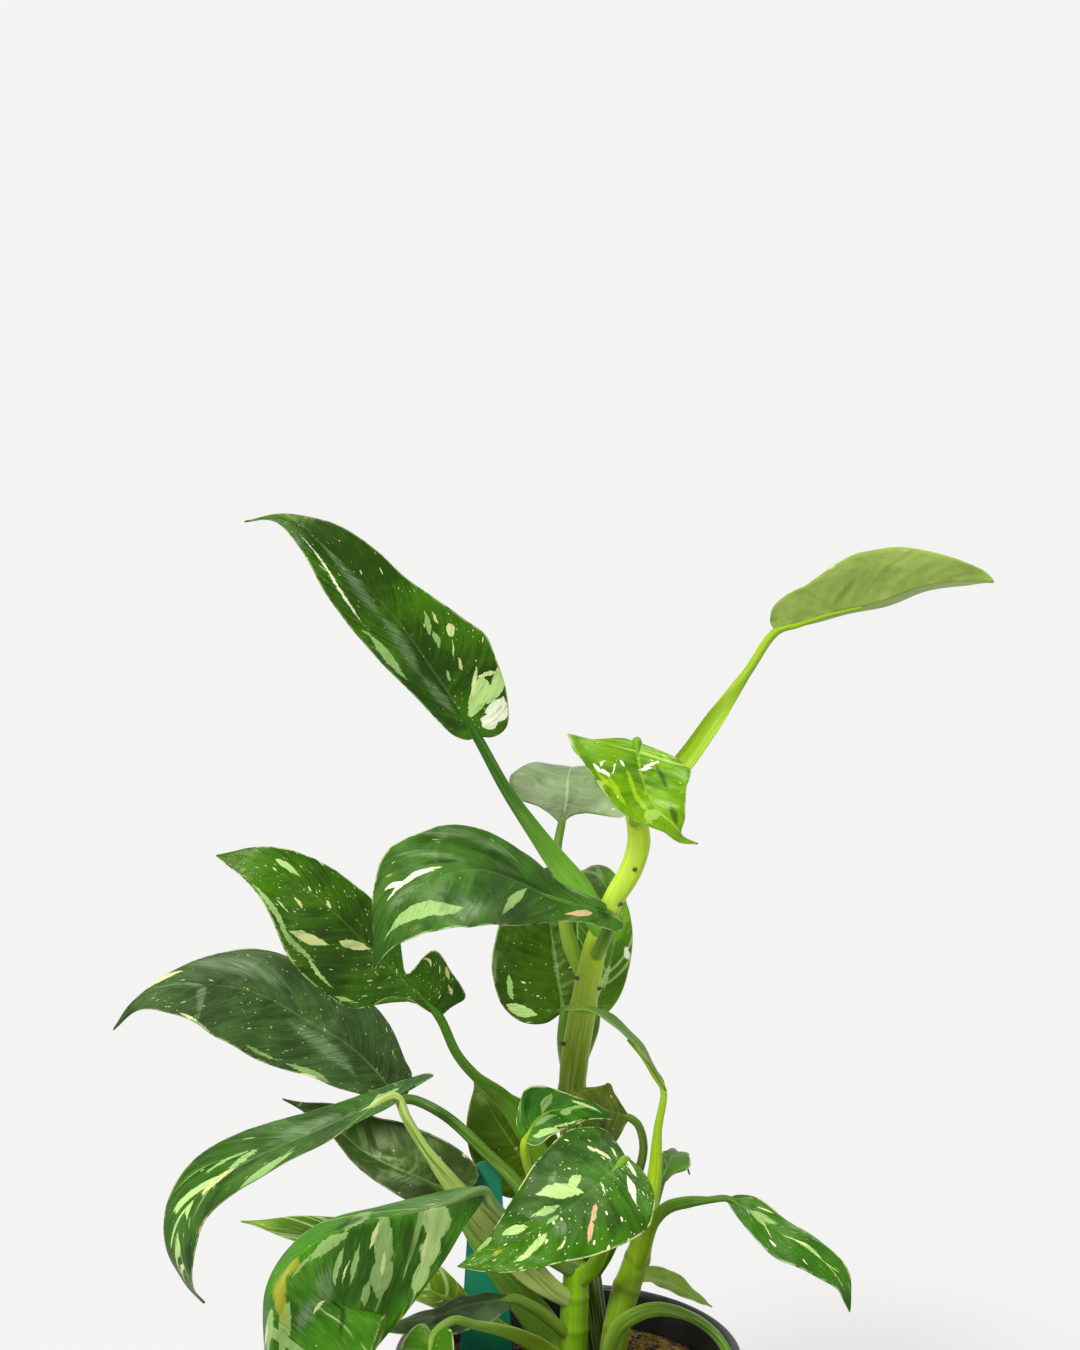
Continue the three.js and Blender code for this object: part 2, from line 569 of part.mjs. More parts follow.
// A point of a leaf's blade: share runs from the sinus to the tip along the edge,
// side is -1 at the left edge, 0 on the midrib and 1 at the right edge.
function bladePoint(leaf, curve, outlines, share, side) {
  const length = curve.getLength();
  const reach = Math.abs(side);
  const edge = outlines[side < 0 ? 0 : 1].getPoint(share);
  if (leaf.tear && side * leaf.tear.side > 0) {
    const torn = Math.exp(-(((share - leaf.tear.at) / leaf.tear.wide) ** 2));
    edge.x -= leaf.tear.lean * torn;
    edge.y *= 1 - leaf.tear.deep * torn;
  }
  const along = THREE.MathUtils.lerp(share ** MIDRIB_POWER * length, edge.x, reach);
  const place = THREE.MathUtils.clamp(along / length, 0, 1);
  const tangent = curve.getTangentAt(place);
  const upper = mixedFace(leaf.face, place);
  upper.addScaledVector(tangent, -upper.dot(tangent)).normalize();
  const across = new THREE.Vector3().crossVectors(tangent, upper);
  const fold = THREE.MathUtils.degToRad(leaf.fold);
  const ripple = Math.sin(2 * Math.PI * leaf.waves * share + side) * Math.sin(Math.PI * share);
  const lift = edge.y * reach * Math.sin(fold) + leaf.wave * ripple * reach * reach;
  const point = curve.getPointAt(place).addScaledVector(tangent, Math.min(0, along));
  point.addScaledVector(across, side * edge.y * Math.cos(fold));
  return point.addScaledVector(upper, lift);
}

// A leaf's blade: the same grid of triangles above and below, joined round the edge.
function blade(leaf) {
  const curve = curveThrough(leaf.rib);
  curve.arcLengthDivisions = 400;
  const outlines = [0, 1].map((hand) => {
    const points = halfOutline(leaf, hand, curve.getLength());
    return new THREE.SplineCurve(points.map(([along, out]) => new THREE.Vector2(along, out)));
  });
  const columns = 2 * HALF_COLUMNS;
  const firstShare = 0.025;
  const lastShare = 0.985;
  const point = (row, column) => {
    const share = THREE.MathUtils.lerp(firstShare, lastShare, row / BLADE_ROWS);
    return bladePoint(leaf, curve, outlines, share, column / HALF_COLUMNS - 1);
  };
  const places = [];
  for (const lift of [BLADE_THICK / 2, -BLADE_THICK / 2]) {
    for (let row = 0; row <= BLADE_ROWS; row += 1) {
      for (let column = 0; column <= columns; column += 1) {
        const along = point(Math.min(row + 0.5, BLADE_ROWS), column);
        along.sub(point(Math.max(row - 0.5, 0), column));
        const across = point(row, Math.min(column + 0.5, columns));
        across.sub(point(row, Math.max(column - 0.5, 0)));
        const upper = new THREE.Vector3().crossVectors(across, along).normalize();
        places.push(point(row, column).addScaledVector(upper, lift));
      }
    }
  }
  const width = columns + 1;
  const under = width * (BLADE_ROWS + 1);
  const triangles = [];
  for (let row = 0; row < BLADE_ROWS; row += 1) {
    for (let column = 0; column < columns; column += 1) {
      const a = row * width + column;
      const [b, c, d] = [a + 1, a + width + 1, a + width];
      triangles.push(a, b, c, a, c, d);
      triangles.push(under + a, under + c, under + b, under + a, under + d, under + c);
    }
  }
  const rim = [];
  for (let column = 0; column < columns; column += 1) rim.push(column);
  for (let row = 0; row < BLADE_ROWS; row += 1) rim.push(row * width + columns);
  for (let column = columns; column > 0; column -= 1) rim.push(BLADE_ROWS * width + column);
  for (let row = BLADE_ROWS; row > 0; row -= 1) rim.push(row * width);
  rim.forEach((from, place) => {
    const to = rim[(place + 1) % rim.length];
    triangles.push(from, under + from, under + to, from, under + to, to);
  });
  return solidFrom(closedGeometry(places, triangles));
}

// A petiole runs on under the blade as the start of its midrib.
function petiole(leaf) {
  const keel = curveThrough(leaf.rib).getPointAt(0.12);
  return taperedTube([...leaf.petiole, [keel.x, keel.y, keel.z, 0.9]], PETIOLE_SIDES, PETIOLE_STEP);
}

function lathe(profile, sides) {
  const geometry = new THREE.LatheGeometry(
    profile.map(([radius, height]) => new THREE.Vector2(radius, height)),
    sides,
  );
  geometry.rotateX(Math.PI / 2);
  return geometry;
}

function innerRadius(height) {
  const share = (height - FLOOR) / (POT_HEIGHT - RIM_SKIRT - FLOOR);
  return THREE.MathUtils.lerp(BASE_RADIUS, RIM_INNER_RADIUS + 0.4, share) - WALL;
}

function pot() {
  const skirt = POT_HEIGHT - RIM_SKIRT;
  let solid = solidFrom(lathe([
    [0, 0], [BASE_RADIUS - 2, 0], [BASE_RADIUS, 2], [RIM_INNER_RADIUS + 0.4, skirt],
    [RIM_RADIUS - 0.8, skirt], [RIM_RADIUS, skirt + 0.8], [RIM_RADIUS, POT_HEIGHT - 1.6],
    [RIM_RADIUS - 0.9, POT_HEIGHT - 0.3], [RIM_RADIUS - 2, POT_HEIGHT],
    [RIM_INNER_RADIUS + 0.6, POT_HEIGHT - 0.5], [RIM_INNER_RADIUS, POT_HEIGHT - 1.8],
    [innerRadius(skirt), skirt], [innerRadius(FLOOR), FLOOR], [0, FLOOR],
  ], POT_SIDES));
  for (let hole = 0; hole < DRAIN_HOLES; hole += 1) {
    const angle = (2 * Math.PI * (hole + 0.5)) / DRAIN_HOLES;
    const drill = new THREE.CylinderGeometry(DRAIN_RADIUS, DRAIN_RADIUS, 4 * FLOOR, 12);
    drill.rotateX(Math.PI / 2);
    drill.translate(DRAIN_RING * Math.cos(angle), DRAIN_RING * Math.sin(angle), 0);
    solid = solid.subtract(solidFrom(drill));
  }
  return solid;
}

function labelOutline(grow) {
  const shape = new THREE.Shape();
  shape.moveTo(-6 - grow, LABEL_FOOT - grow);
  shape.lineTo(6 + grow, LABEL_FOOT - grow);
  shape.lineTo(11.5 + grow, LABEL_FOOT + 22);
  shape.lineTo(5.8 + grow, LABEL_SHOULDER);
  shape.quadraticCurveTo(5.4, LABEL_TOP, 0, LABEL_TOP + grow);
  shape.quadraticCurveTo(-5.4, LABEL_TOP, -5.8 - grow, LABEL_SHOULDER);
  shape.lineTo(-11 - grow, LABEL_FOOT + 22);
  shape.closePath();
  return shape;
}

function label(grow = 0) {
  const depth = LABEL_THICK + 2 * grow;
  const settings = { depth, bevelEnabled: false, curveSegments: 4 };
  const geometry = new THREE.ExtrudeGeometry(labelOutline(grow), settings);
  geometry.rotateX(Math.PI / 2);
  geometry.translate(LABEL_PLACE.x, LABEL_PLACE.y + depth / 2, 0);
  return solidFrom(geometry);
}

function soilHeight(x, y) {
  const share = Math.hypot(x, y) / innerRadius(SOIL_TOP);
  const bumps = Math.sin(x * 0.31 + 1.3) * Math.sin(y * 0.27 + 0.4) + Math.sin(x * 0.13 - y * 0.17);
  return SOIL_TOP + SOIL_CROWN * (1 - share * share) + SOIL_ROUGHNESS * bumps * (1 - share ** 4);
}

function soil(holes) {
  const edge = innerRadius(SOIL_TOP) - GAP;
  const rings = [edge, 0.82 * edge, 0.62 * edge, 0.42 * edge, 0.22 * edge];
  const geometry = lathe([
    [0, FLOOR + GAP], [innerRadius(FLOOR) - 2 * GAP, FLOOR + GAP], [edge, SOIL_TOP],
    ...rings.slice(1).map((radius) => [radius, SOIL_TOP + 0.5]), [0, SOIL_TOP + 0.5],
  ], 32);
  const places = geometry.attributes.position;
  for (let index = 0; index < places.count; index += 1) {
    const [x, y, z] = [places.getX(index), places.getY(index), places.getZ(index)];
    if (z > SOIL_TOP + 0.1) places.setZ(index, soilHeight(x, y));
  }
  return holes.reduce((solid, hole) => solid.subtract(hole), solidFrom(geometry));
}

function material(colour, roughness) {
  return new THREE.MeshStandardMaterial({ color: colour, roughness, metalness: 0 });
}

const MATERIALS = {
  pot: material("#17181a", 0.42),
  soil: material("#2a211a", 0.95),
  label: material("#0f7d66", 0.5),
  stem: material("#5d8a2c", 0.45),
  leaf: material("#2f6b23", 0.35),
  leaf_dark: material("#36513a", 0.38),
  leaf_young: material("#8fc31f", 0.35),
  leaf_olive: material("#7d9440", 0.4),
};
const LEAF_MATERIALS = {
  leaf_young: "leaf_young",
  leaf_edge_on: "leaf_young",
  leaf_upper_right: "leaf_olive",
  leaf_over_rim: "leaf_olive",
  leaf_left_large: "leaf_dark",
  leaf_left_behind: "leaf_dark",
  leaf_low_dark: "leaf_dark",
};

const plant = new THREE.Group();
function addNode(name, solid, look) {
  const mesh = new THREE.Mesh(geometryFrom(solid), MATERIALS[look]);
  mesh.name = name;
  plant.add(mesh);
}

const stems = {};
const stemRoom = {};
for (const [name, points] of Object.entries(STEMS)) {
  stems[name] = taperedTube(points, STEM_SIDES, STEM_STEP);
  stemRoom[name] = taperedTube(points, STEM_SIDES, STEM_STEP, GAP);
}
addNode("pot", pot(), "pot");
addNode("soil", soil([...Object.values(stemRoom), label(GAP)]), "soil");
addNode("label", label(), "label");
for (const [name, solid] of Object.entries(stems)) addNode(name, solid, "stem");
for (const [name, leaf] of Object.entries(LEAVES)) {
  const whole = blade(leaf).add(petiole(leaf));
  addNode(name, whole.subtract(stemRoom[leaf.stem]), LEAF_MATERIALS[name] ?? "leaf");
}

export default plant;
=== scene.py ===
# The looks of a white wizard philodendron in a black nursery pot. Lengths are in millimetres up to
# the point where a mesh is made, in the frame of the CAD model: +Z up, -Y towards the viewer.
import functools
import math

import bmesh
import bpy
import numpy as np
from mathutils import Matrix, Vector


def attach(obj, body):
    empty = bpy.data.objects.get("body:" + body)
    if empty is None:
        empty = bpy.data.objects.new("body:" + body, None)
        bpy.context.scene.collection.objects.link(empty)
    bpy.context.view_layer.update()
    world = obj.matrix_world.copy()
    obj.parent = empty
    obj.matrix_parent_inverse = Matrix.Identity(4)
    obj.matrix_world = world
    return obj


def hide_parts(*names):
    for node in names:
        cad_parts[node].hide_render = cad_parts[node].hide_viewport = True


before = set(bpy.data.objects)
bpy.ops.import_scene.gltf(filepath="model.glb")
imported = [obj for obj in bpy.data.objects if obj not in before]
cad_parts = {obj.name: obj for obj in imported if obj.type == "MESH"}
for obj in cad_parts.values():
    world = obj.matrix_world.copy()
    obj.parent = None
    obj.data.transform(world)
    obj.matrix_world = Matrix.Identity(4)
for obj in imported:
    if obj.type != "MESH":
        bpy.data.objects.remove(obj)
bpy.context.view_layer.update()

MM = 0.001
POT_HEIGHT = 118
RIM_RADIUS = 65
RIM_INNER_RADIUS = 61
RIM_SKIRT = 9
BASE_RADIUS = 47
WALL = 1.6
FLOOR = 2.4
DRAIN_HOLES = 6
DRAIN_RADIUS = 5
DRAIN_RING = 33
SOIL_TOP = 103
SOIL_CROWN = 3
SOIL_ROUGHNESS = 1.1
SOIL_PLAY = 0.32
MOSS_PLACE = (43, 40)
MOSS_SPREAD = (24, 22)
CHIPS = 1300
LABEL_THICK = 1.2
LABEL_PLACE = (-31, 6)
LABEL_FOOT = 72
LABEL_SHOULDER = 178
LABEL_ROUND = 5.9
LABEL_CROWN = 8

BLADE_ROWS = 84
HALF_COLUMNS = 13
VEIN_BEND = 0.07

# The photograph's size and its camera: focal length in pixels, and place
PHOTO_WIDE = 1080
PHOTO_HIGH = 1350
FOCAL = 1600
CAMERA = (-10.5, -600.0, 370.0)

# The studio: linear colours behind and above the object, and where in metres the lamps aim
BACKDROP = (0.905, 0.9, 0.895, 1)
OVERHEAD = (0.25, 0.25, 0.25, 1)
AIM = (0, 0, 0.25)

# Half outlines that leaves share, as [share of the length, share of the half width]
OUTLINES = {
    "ovate": [[0, 0], [-0.035, 0.32], [0.005, 0.68], [0.1, 0.92], [0.22, 1], [0.35, 0.985],
        [0.49, 0.87], [0.63, 0.67], [0.77, 0.4], [0.9, 0.14], [1, 0]],
    "deltoid": [[0, 0], [-0.03, 0.4], [-0.04, 0.8], [0.04, 1], [0.16, 0.98], [0.3, 0.86], [0.44, 0.68],
        [0.58, 0.48], [0.72, 0.27], [0.88, 0.09], [1, 0]],
    "narrow": [[0, 0], [0.0, 0.32], [0.06, 0.62], [0.16, 0.84], [0.28, 0.97], [0.4, 1], [0.53, 0.92],
        [0.66, 0.74], [0.79, 0.47], [0.91, 0.18], [1, 0]],
}

# Each stem as [x, y, z, radius]
STEMS = {
    "stem_tall": [[13, 4, 62, 4], [13, 5, 104, 4.4], [8, 10, 142, 4.8], [4, 14, 176, 5],
        [2, 14, 211, 5.4], [6, 12, 242, 5.2], [11, 8, 268, 4.4], [17, 7, 284, 4], [24, 8, 296, 4.3],
        [27, 8, 307, 4.4], [25, 7, 320, 3.6]],
    "stem_front": [[1, -8, 60, 4.5], [1, -8, 104, 5], [2, -8, 130, 5.4], [3, -8, 152, 4.6]],
    "stem_right": [[13, -4, 64, 4], [14, -4, 96, 4.6], [17, -3, 120, 5], [21, -2, 138, 5.2],
        [26, -2, 152, 4.8], [29, -3, 165, 3.6]],
}

# Each leaf: its petiole as [x, y, z, radius, half width where it is winged], its midrib, and the
# way that its upper side faces along it. left and right are its edges as [along the midrib, out
# from it], or the half widths of the outlines that it names, whose base lobes reach back by lobe.
# fold is in degrees, wave in millimetres, and an edge has two waves unless waves says otherwise.
LEAVES = {
    "leaf_upper_left": {
        "fold": 24, "wave": 0.8,
        "petiole": [[13, 6, 272, 3, 3.4], [9, 0, 281, 3, 4.4], [4, -6, 291, 2.8, 4.6],
            [-4, -9, 301, 2.7, 4.2], [-12, -11, 312, 2.5, 3.2], [-23, -12, 328, 2.2],
            [-34, -14, 348, 1.8]],
        "rib": [[-34, -14, 348], [-49, -20, 371], [-59, -24, 386], [-77, -28, 406], [-91, -29, 419],
            [-104, -27, 426], [-117, -26, 425]],
        "left": [[0, 0], [1, 5], [7, 10], [19, 13], [31, 15], [43, 17.5], [55, 18], [67, 17],
            [79, 14.5], [90, 10], [101, 5], [112, 1], [121, 0]],
        "right": [[0, 0], [-4, 4.5], [-4, 10], [0, 14.5], [9, 19], [20, 21.5], [30, 23], [40, 19],
            [50, 15], [61, 12.5], [74, 12], [87, 9.5], [99, 5], [110, 1.5], [121, 0]],
        "face": [[0.3, -0.9, 0.3], [0.2, -0.93, 0.2], [0.1, -0.9, 0.4]],
    },
    "leaf_upper_right": {
        "fold": 25, "wave": 0.5,
        "petiole": [[26, 8, 312, 3, 3.4], [34, 9, 325, 2.8, 4.2], [45, 9, 338, 2.4, 4],
            [56, 11, 353, 2.2, 3.6], [69, 14, 371, 1.8], [81, 18, 387, 1.7]],
        "rib": [[81, 18, 387], [98, 12, 393], [118, 4, 398], [131, -2, 403], [144, -10, 405],
            [155, -18, 404]],
        "left": [[0, 0], [1, 5], [3, 9], [11, 12], [22, 14], [34, 15], [46, 18], [58, 21], [69, 20],
            [78, 13], [85, 0]],
        "right": [[0, 0], [-1, 3], [0, 7], [3, 11], [10, 14], [19, 16], [30, 20], [41, 22.5],
            [52, 20.5], [63, 15], [74, 9.5], [81, 5], [85, 0]],
        "face": [[0, 0.5, 0.87], [0, 0.5, 0.87], [0.2, 0.4, 0.87]],
    },
    "leaf_young": {
        "fold": 12, "wave": 1.6,
        "petiole": [[25, 4, 314, 2.2], [27, -2, 327, 2], [27, -8, 338, 1.8], [25, -12, 346, 1.6]],
        "rib": [[25, -12, 345], [26, -22, 334], [29, -30, 325], [35, -34, 317], [39, -34, 312],
            [46, -32, 310]],
        "left": [[0, 0], [2, 4], [6, 9], [11, 14], [16, 18], [22, 16.5], [31, 13], [38, 7], [42, 3],
            [46, 1.5], [52, 0]],
        "right": [[0, 0], [-1, 4], [0.5, 12.5], [1, 20], [0, 26], [3, 26.5], [9, 25], [14, 21],
            [20, 17], [27, 12.8], [35, 6.5], [41, 2.5], [52, 0]],
        "face": [[0.1, -0.7, 0.7], [0.05, -0.8, 0.5], [0.1, -0.9, 0.4]],
    },
    "leaf_upper_back": {
        "fold": 8, "wave": 0.8,
        "petiole": [[7, 12, 252, 2.4], [1, 12, 267, 2.6, 3], [-2, 13, 281, 2.2], [-4, 20, 300, 1.8],
            [-2, 26, 312, 1.6]],
        "rib": [[-2, 26, 312], [0, 40, 319], [1, 56, 328], [3, 74, 331], [5, 90, 328]],
        "left": [[0, 0], [2, 3], [6, 7], [9, 11], [12, 18.5], [19, 22.5], [27, 23.5], [35, 20],
            [46, 14.5], [58, 8], [69, 0]],
        "right": [[0, 0], [4, 2], [9, 6], [9, 11], [7, 16], [2, 21], [4, 25], [14, 26], [27, 24],
            [40, 18], [54, 10], [69, 0]],
        "face": [[0, -0.5, 0.85], [0, -0.4, 0.9], [0, 0.1, 1]],
    },
    "leaf_center": {
        "fold": 0, "wave": 1.2,
        "petiole": [[10, 9, 262, 2.6], [13, -2, 270, 2.6], [15, -10, 278, 2.2], [14, -17, 283, 1.8]],
        "rib": [[13, -20, 284], [8, -22, 286], [-4, -26, 289], [-17, -34, 296], [-30, -44, 302],
            [-42, -54, 302], [-53, -62, 298], [-60, -67, 291], [-64, -69, 281], [-66, -68, 271]],
        "left": [[0, 0], [-8, 2], [-5, 6], [5, 7], [18, 8], [31, 14], [44, 19], [57, 23], [72, 24.5],
            [88, 25], [98, 16], [105, 7], [115, 0]],
        "right": [[0, 0], [0, 3], [8, 5], [20, 9], [32, 13], [45, 16], [58, 19.5], [70, 19], [80, 19.5],
            [88, 14], [97, 8], [106, 3], [115, 0]],
        "face": [[0, -0.8, 0.6], [0, -0.8, 0.6], [-0.8, -0.6, 0.1]],
    },
    "leaf_mid_left": {
        "fold": 8, "wave": 0.8,
        "tear": {"side": 1, "at": 0.44, "wide": 0.04, "deep": 0.85, "lean": 8},
        "petiole": [[4, 14, 170, 3], [-8, 8, 184, 3, 3.6], [-16, 3, 199, 2.8, 4.2],
            [-24, 0, 211, 2.4, 3.4], [-34, -7, 221, 2], [-41, -13, 231, 1.8], [-47, -20, 246, 1.7]],
        "rib": [[-47, -20, 246], [-55, -28, 257], [-68, -38, 272], [-81, -46, 287], [-92, -50, 297],
            [-106, -52, 305], [-122, -50, 308]],
        "left": [[0, 0], [8, 2], [17, 4], [24, 8.5], [28, 15], [33, 20], [43, 22], [56, 23], [65, 21.5],
            [74, 18], [84, 12], [94, 7], [108, 0]],
        "right": [[0, 0], [0, 6], [0, 12], [12, 14], [22, 15.5], [34, 13], [47, 12.5], [60, 11.8],
            [72, 11], [84, 8.8], [96, 4.8], [108, 0]],
        "face": [[0.35, -0.85, -0.1], [-0.05, -0.9, 0.4], [-0.1, -0.9, 0.45]],
    },
    "leaf_left_large": {
        "fold": -4, "wave": 0.6,
        "petiole": [[9, 9, 138, 3], [1, 5, 148, 3, 3.6], [-9, 0, 163, 2.8, 3.4], [-19, -3, 180, 2.5],
            [-31, -3, 192, 2.2], [-45, 0, 204, 2], [-57, 5, 209, 1.9], [-66, 8, 210, 1.8]],
        "rib": [[-66, 8, 210], [-69, 8, 215], [-83, 8, 229], [-99, 7, 239], [-116, 5, 249],
            [-131, 2, 253], [-147, -2, 253], [-161, -7, 248], [-168, -10, 239]],
        "left": [[0, 0], [-1, 5], [9, 11.5], [20, 17], [31, 19], [42, 21], [54, 23], [68, 23.5],
            [80, 21.5], [90, 15.5], [101, 10.5], [112, 3.5], [125, 0]],
        "right": [[0, 0], [-3, 5], [0, 11], [10, 16.5], [20, 21.5], [32, 24], [46, 23], [60, 21],
            [70, 20], [80, 16], [90, 12], [100, 7], [110, 2], [125, 0]],
        "face": [[0, -0.4, 0.9], [0, -0.65, 0.7], [0, -0.7, 0.7], [-0.5, -0.7, 0.5]],
    },
    "leaf_left_droop": {
        "fold": 0, "wave": 0.6,
        "petiole": [[2, -8, 138, 3], [-6, -14, 145, 3, 4], [-15, -20, 155, 2.8, 5.4],
            [-28, -27, 172, 2.4, 5.4], [-40, -31, 187, 2, 3.6], [-51, -31, 201, 1.9],
            [-58, -30, 212, 1.8], [-62, -28, 219, 1.8]],
        "rib": [[-62, -28, 219], [-71, -34, 217], [-88, -50, 213], [-104, -64, 209], [-117, -74, 204],
            [-126, -80, 195], [-128, -82, 184], [-125, -80, 172], [-120, -76, 164]],
        "left": [[0, 0], [-1, 2], [10, 5], [22, 6], [35, 7], [50, 8], [64, 9.5], [78, 10.5], [90, 11],
            [100, 9], [110, 5], [122, 0]],
        "right": [[0, 0], [-10, 2], [-18, 4], [-17, 8], [-6, 8.5], [10, 9], [28, 11], [45, 13],
            [62, 15], [78, 14], [92, 8.5], [104, 6], [113, 3], [122, 0]],
        "face": [[0, -0.3, 0.95], [0, -0.35, 0.9], [-0.8, -0.6, 0.1]],
    },
    "leaf_left_behind": {
        "fold": 6, "wave": 0.8, "left": 10, "right": 17, "outlines": ["deltoid", "ovate"],
        "lobe": [2, 6],
        "petiole": [[1, -8, 118, 3], [-8, -8, 128, 3, 6.2], [-17, -9, 140, 2.8, 6],
            [-28, -8, 153, 2.4, 4], [-38, -5, 165, 2], [-44, -2, 176, 1.8]],
        "rib": [[-44, -2, 177], [-55, 3, 180], [-77, 12, 187], [-92, 18, 197], [-104, 22, 202],
            [-111, 23, 205]],
        "face": [[0, -0.75, 0.65], [0, -0.75, 0.65], [-0.2, -0.7, 0.7]],
    },
    "leaf_front_left": {
        "fold": -44, "wave": 1,
        "petiole": [[3, -8, 149, 3], [-4, -15, 156, 2.8, 3.4], [-12, -24, 164, 2.6, 3],
            [-20, -34, 175, 2.2], [-27, -40, 185, 1.9], [-30, -42, 190, 1.8]],
        "rib": [[-30, -42, 190], [-44, -56, 190], [-57, -66, 190], [-72, -78, 190], [-84, -86, 187],
            [-91, -92, 180], [-94, -96, 169], [-95, -96, 154], [-93, -95, 136], [-89, -91, 118],
            [-83, -86, 104]],
        "left": [[0, 0], [2, 4], [11, 10.5], [22, 21], [34, 31], [50, 41], [72, 42], [98, 38],
            [126, 28], [147, 13], [162, 0]],
        "right": [[0, 0], [-2, 4], [2, 9], [16, 13], [36, 13.5], [56, 12.5], [70, 10], [82, 9],
            [102, 9], [125, 6], [146, 2], [162, 0]],
        "face": [[0.2, -0.7, 0.7], [0, -0.7, 0.7], [-0.7, -0.7, 0.1]],
    },
    "leaf_low_left": {
        "fold": 10, "wave": 0.6, "left": 8, "right": 11, "outlines": ["narrow", "narrow"],
        "lobe": [3, 3],
        "petiole": [[1, -8, 109, 2.4], [-8, -11, 118, 2.4], [-18, -17, 128, 2.2], [-29, -24, 138, 1.9],
            [-40, -32, 146, 1.6]],
        "rib": [[-40, -32, 146], [-53, -30, 153], [-71, -28, 162], [-89, -26, 168], [-106, -26, 172],
            [-118, -26, 174]],
        "face": [[0, -0.6, 0.8], [0, -0.6, 0.8], [0, -0.6, 0.8]],
    },
    "leaf_front_center": {
        "fold": -4, "wave": 0.5,
        "petiole": [[3, -8, 144, 2.6], [9, -16, 154, 2.4, 3], [14, -32, 172, 2], [18, -52, 193, 1.8],
            [18, -66, 208, 1.7]],
        "rib": [[18, -66, 209], [11, -78, 206], [2, -89, 202], [-9, -98, 198], [-23, -106, 192],
            [-36, -108, 188]],
        "left": [[0, 0], [0, 3], [5, 11], [10, 16], [15, 19], [20, 21], [27, 20.5], [35, 18.5],
            [43, 15.5], [55, 10.5], [65, 5], [75, 0]],
        "right": [[0, 0], [-4, 4], [-9, 11], [-9, 17], [-4, 22], [6, 23], [18, 22], [30, 20], [43, 15],
            [56, 9], [66, 4], [75, 0]],
        "face": [[-0.05, -0.65, 0.75], [-0.05, -0.65, 0.75], [-0.1, -0.7, 0.7]],
    },
    "leaf_small_center": {
        "fold": 14, "wave": 0.6, "waves": 1,
        "petiole": [[5, 13, 158, 2.2], [2, 3, 164, 2.2], [-3, -11, 173, 2], [-10, -28, 184, 1.8],
            [-14, -38, 195, 1.6], [-16, -42, 206, 1.5]],
        "rib": [[-16, -42, 207], [-13, -38, 212], [-8, -33, 215], [-1, -29, 215], [8, -26, 214],
            [16, -24, 210]],
        "left": [[0, 0], [2, 2.5], [5, 5.5], [9, 8], [13, 10.5], [17, 8.5], [21, 6.5], [26, 4.5],
            [32, 3], [38, 1.5], [42, 0]],
        "right": [[0, 0], [0, 4], [3, 7], [8, 9], [14, 9], [20, 8], [26, 6], [32, 4], [37, 2], [42, 0]],
        "face": [[0, -0.8, 0.6], [0, -0.8, 0.6], [0.1, -0.8, 0.6]],
    },
    "leaf_curled": {
        "fold": 0, "wave": 1.4,
        "petiole": [[9, 9, 140, 2.2], [15, 7, 150, 2.2], [20, 3, 164, 2], [25, -2, 180, 1.8],
            [28, -5, 194, 1.6], [26, -7, 203, 1.5], [23, -8, 206, 1.5]],
        "rib": [[23, -8, 206], [17, -11, 209], [11, -13, 211], [5, -14, 214], [-1, -13, 215],
            [-6, -12, 216]],
        "left": [[0, 0], [2, 3], [3, 8], [6, 13], [10, 15.5], [14, 14], [17, 9], [20, 5], [25, 2.5],
            [32, 0]],
        "right": [[0, 0], [3, 1.5], [6, 4], [9, 7.5], [11, 9.5], [15, 9], [19, 6], [24, 3.5], [28, 1.5],
            [32, 0]],
        "face": [[0, -0.93, 0.35], [0, -0.93, 0.35], [0, -0.9, 0.4]],
    },
    "leaf_back_left": {
        "fold": 8, "wave": 0.8, "left": 17, "right": 17, "outlines": ["ovate", "ovate"], "lobe": [4, 4],
        "petiole": [[6, 13, 150, 2.4], [-2, 16, 157, 2.2], [-9, 22, 166, 2], [-14, 28, 175, 1.8]],
        "rib": [[-14, 28, 175], [-21, 30, 185], [-28, 32, 195], [-33, 36, 203], [-37, 42, 208]],
        "face": [[-0.2, -0.9, 0.3], [-0.2, -0.9, 0.3], [-0.3, -0.6, 0.7]],
    },
    "leaf_right": {
        "fold": 14, "wave": 0.4,
        "petiole": [[24, -2, 146, 2.2], [28, -10, 158, 2.2], [31, -17, 171, 2.1, 2.4],
            [36, -21, 177.5, 1.9, 2.4], [43, -23, 180, 1.7, 2.2], [50, -24, 181, 1.3],
            [57, -24, 181.5, 1.2]],
        "rib": [[57, -24, 181], [64, -29, 179], [74, -35, 173], [82, -40, 170], [89, -43, 165],
            [94, -45, 160], [96, -45, 154], [97, -44, 149]],
        "left": [[0, 0], [2, 3], [9, 5], [18, 5.5], [27, 5], [36, 5], [44, 4.5], [51, 3], [57, 1],
            [63, 0]],
        "right": [[0, 0], [5, 4], [12, 7], [20, 9], [29, 10.5], [38, 8.5], [46, 5.5], [52, 3], [58, 1],
            [63, 0]],
        "face": [[0.1, -0.75, 0.65], [0.1, -0.75, 0.65], [0.5, -0.75, 0.4]],
    },
    "leaf_behind_left": {
        "fold": 6, "wave": 0.8, "left": 26, "right": 22, "outlines": ["ovate", "ovate"], "lobe": [2, 2],
        "petiole": [[3, 14, 205, 2.2], [0, 24, 214, 2], [-2, 36, 225, 1.8], [-1, 44, 235, 1.7]],
        "rib": [[-1, 44, 235], [-3, 47, 247], [-5, 51, 260], [-7, 56, 274], [-6, 64, 285],
            [-3, 74, 292]],
        "face": [[0, -0.95, 0.3], [0, -0.9, 0.4], [0, -0.6, 0.8]],
    },
    "leaf_behind_right": {
        "fold": 8, "wave": 0.5,
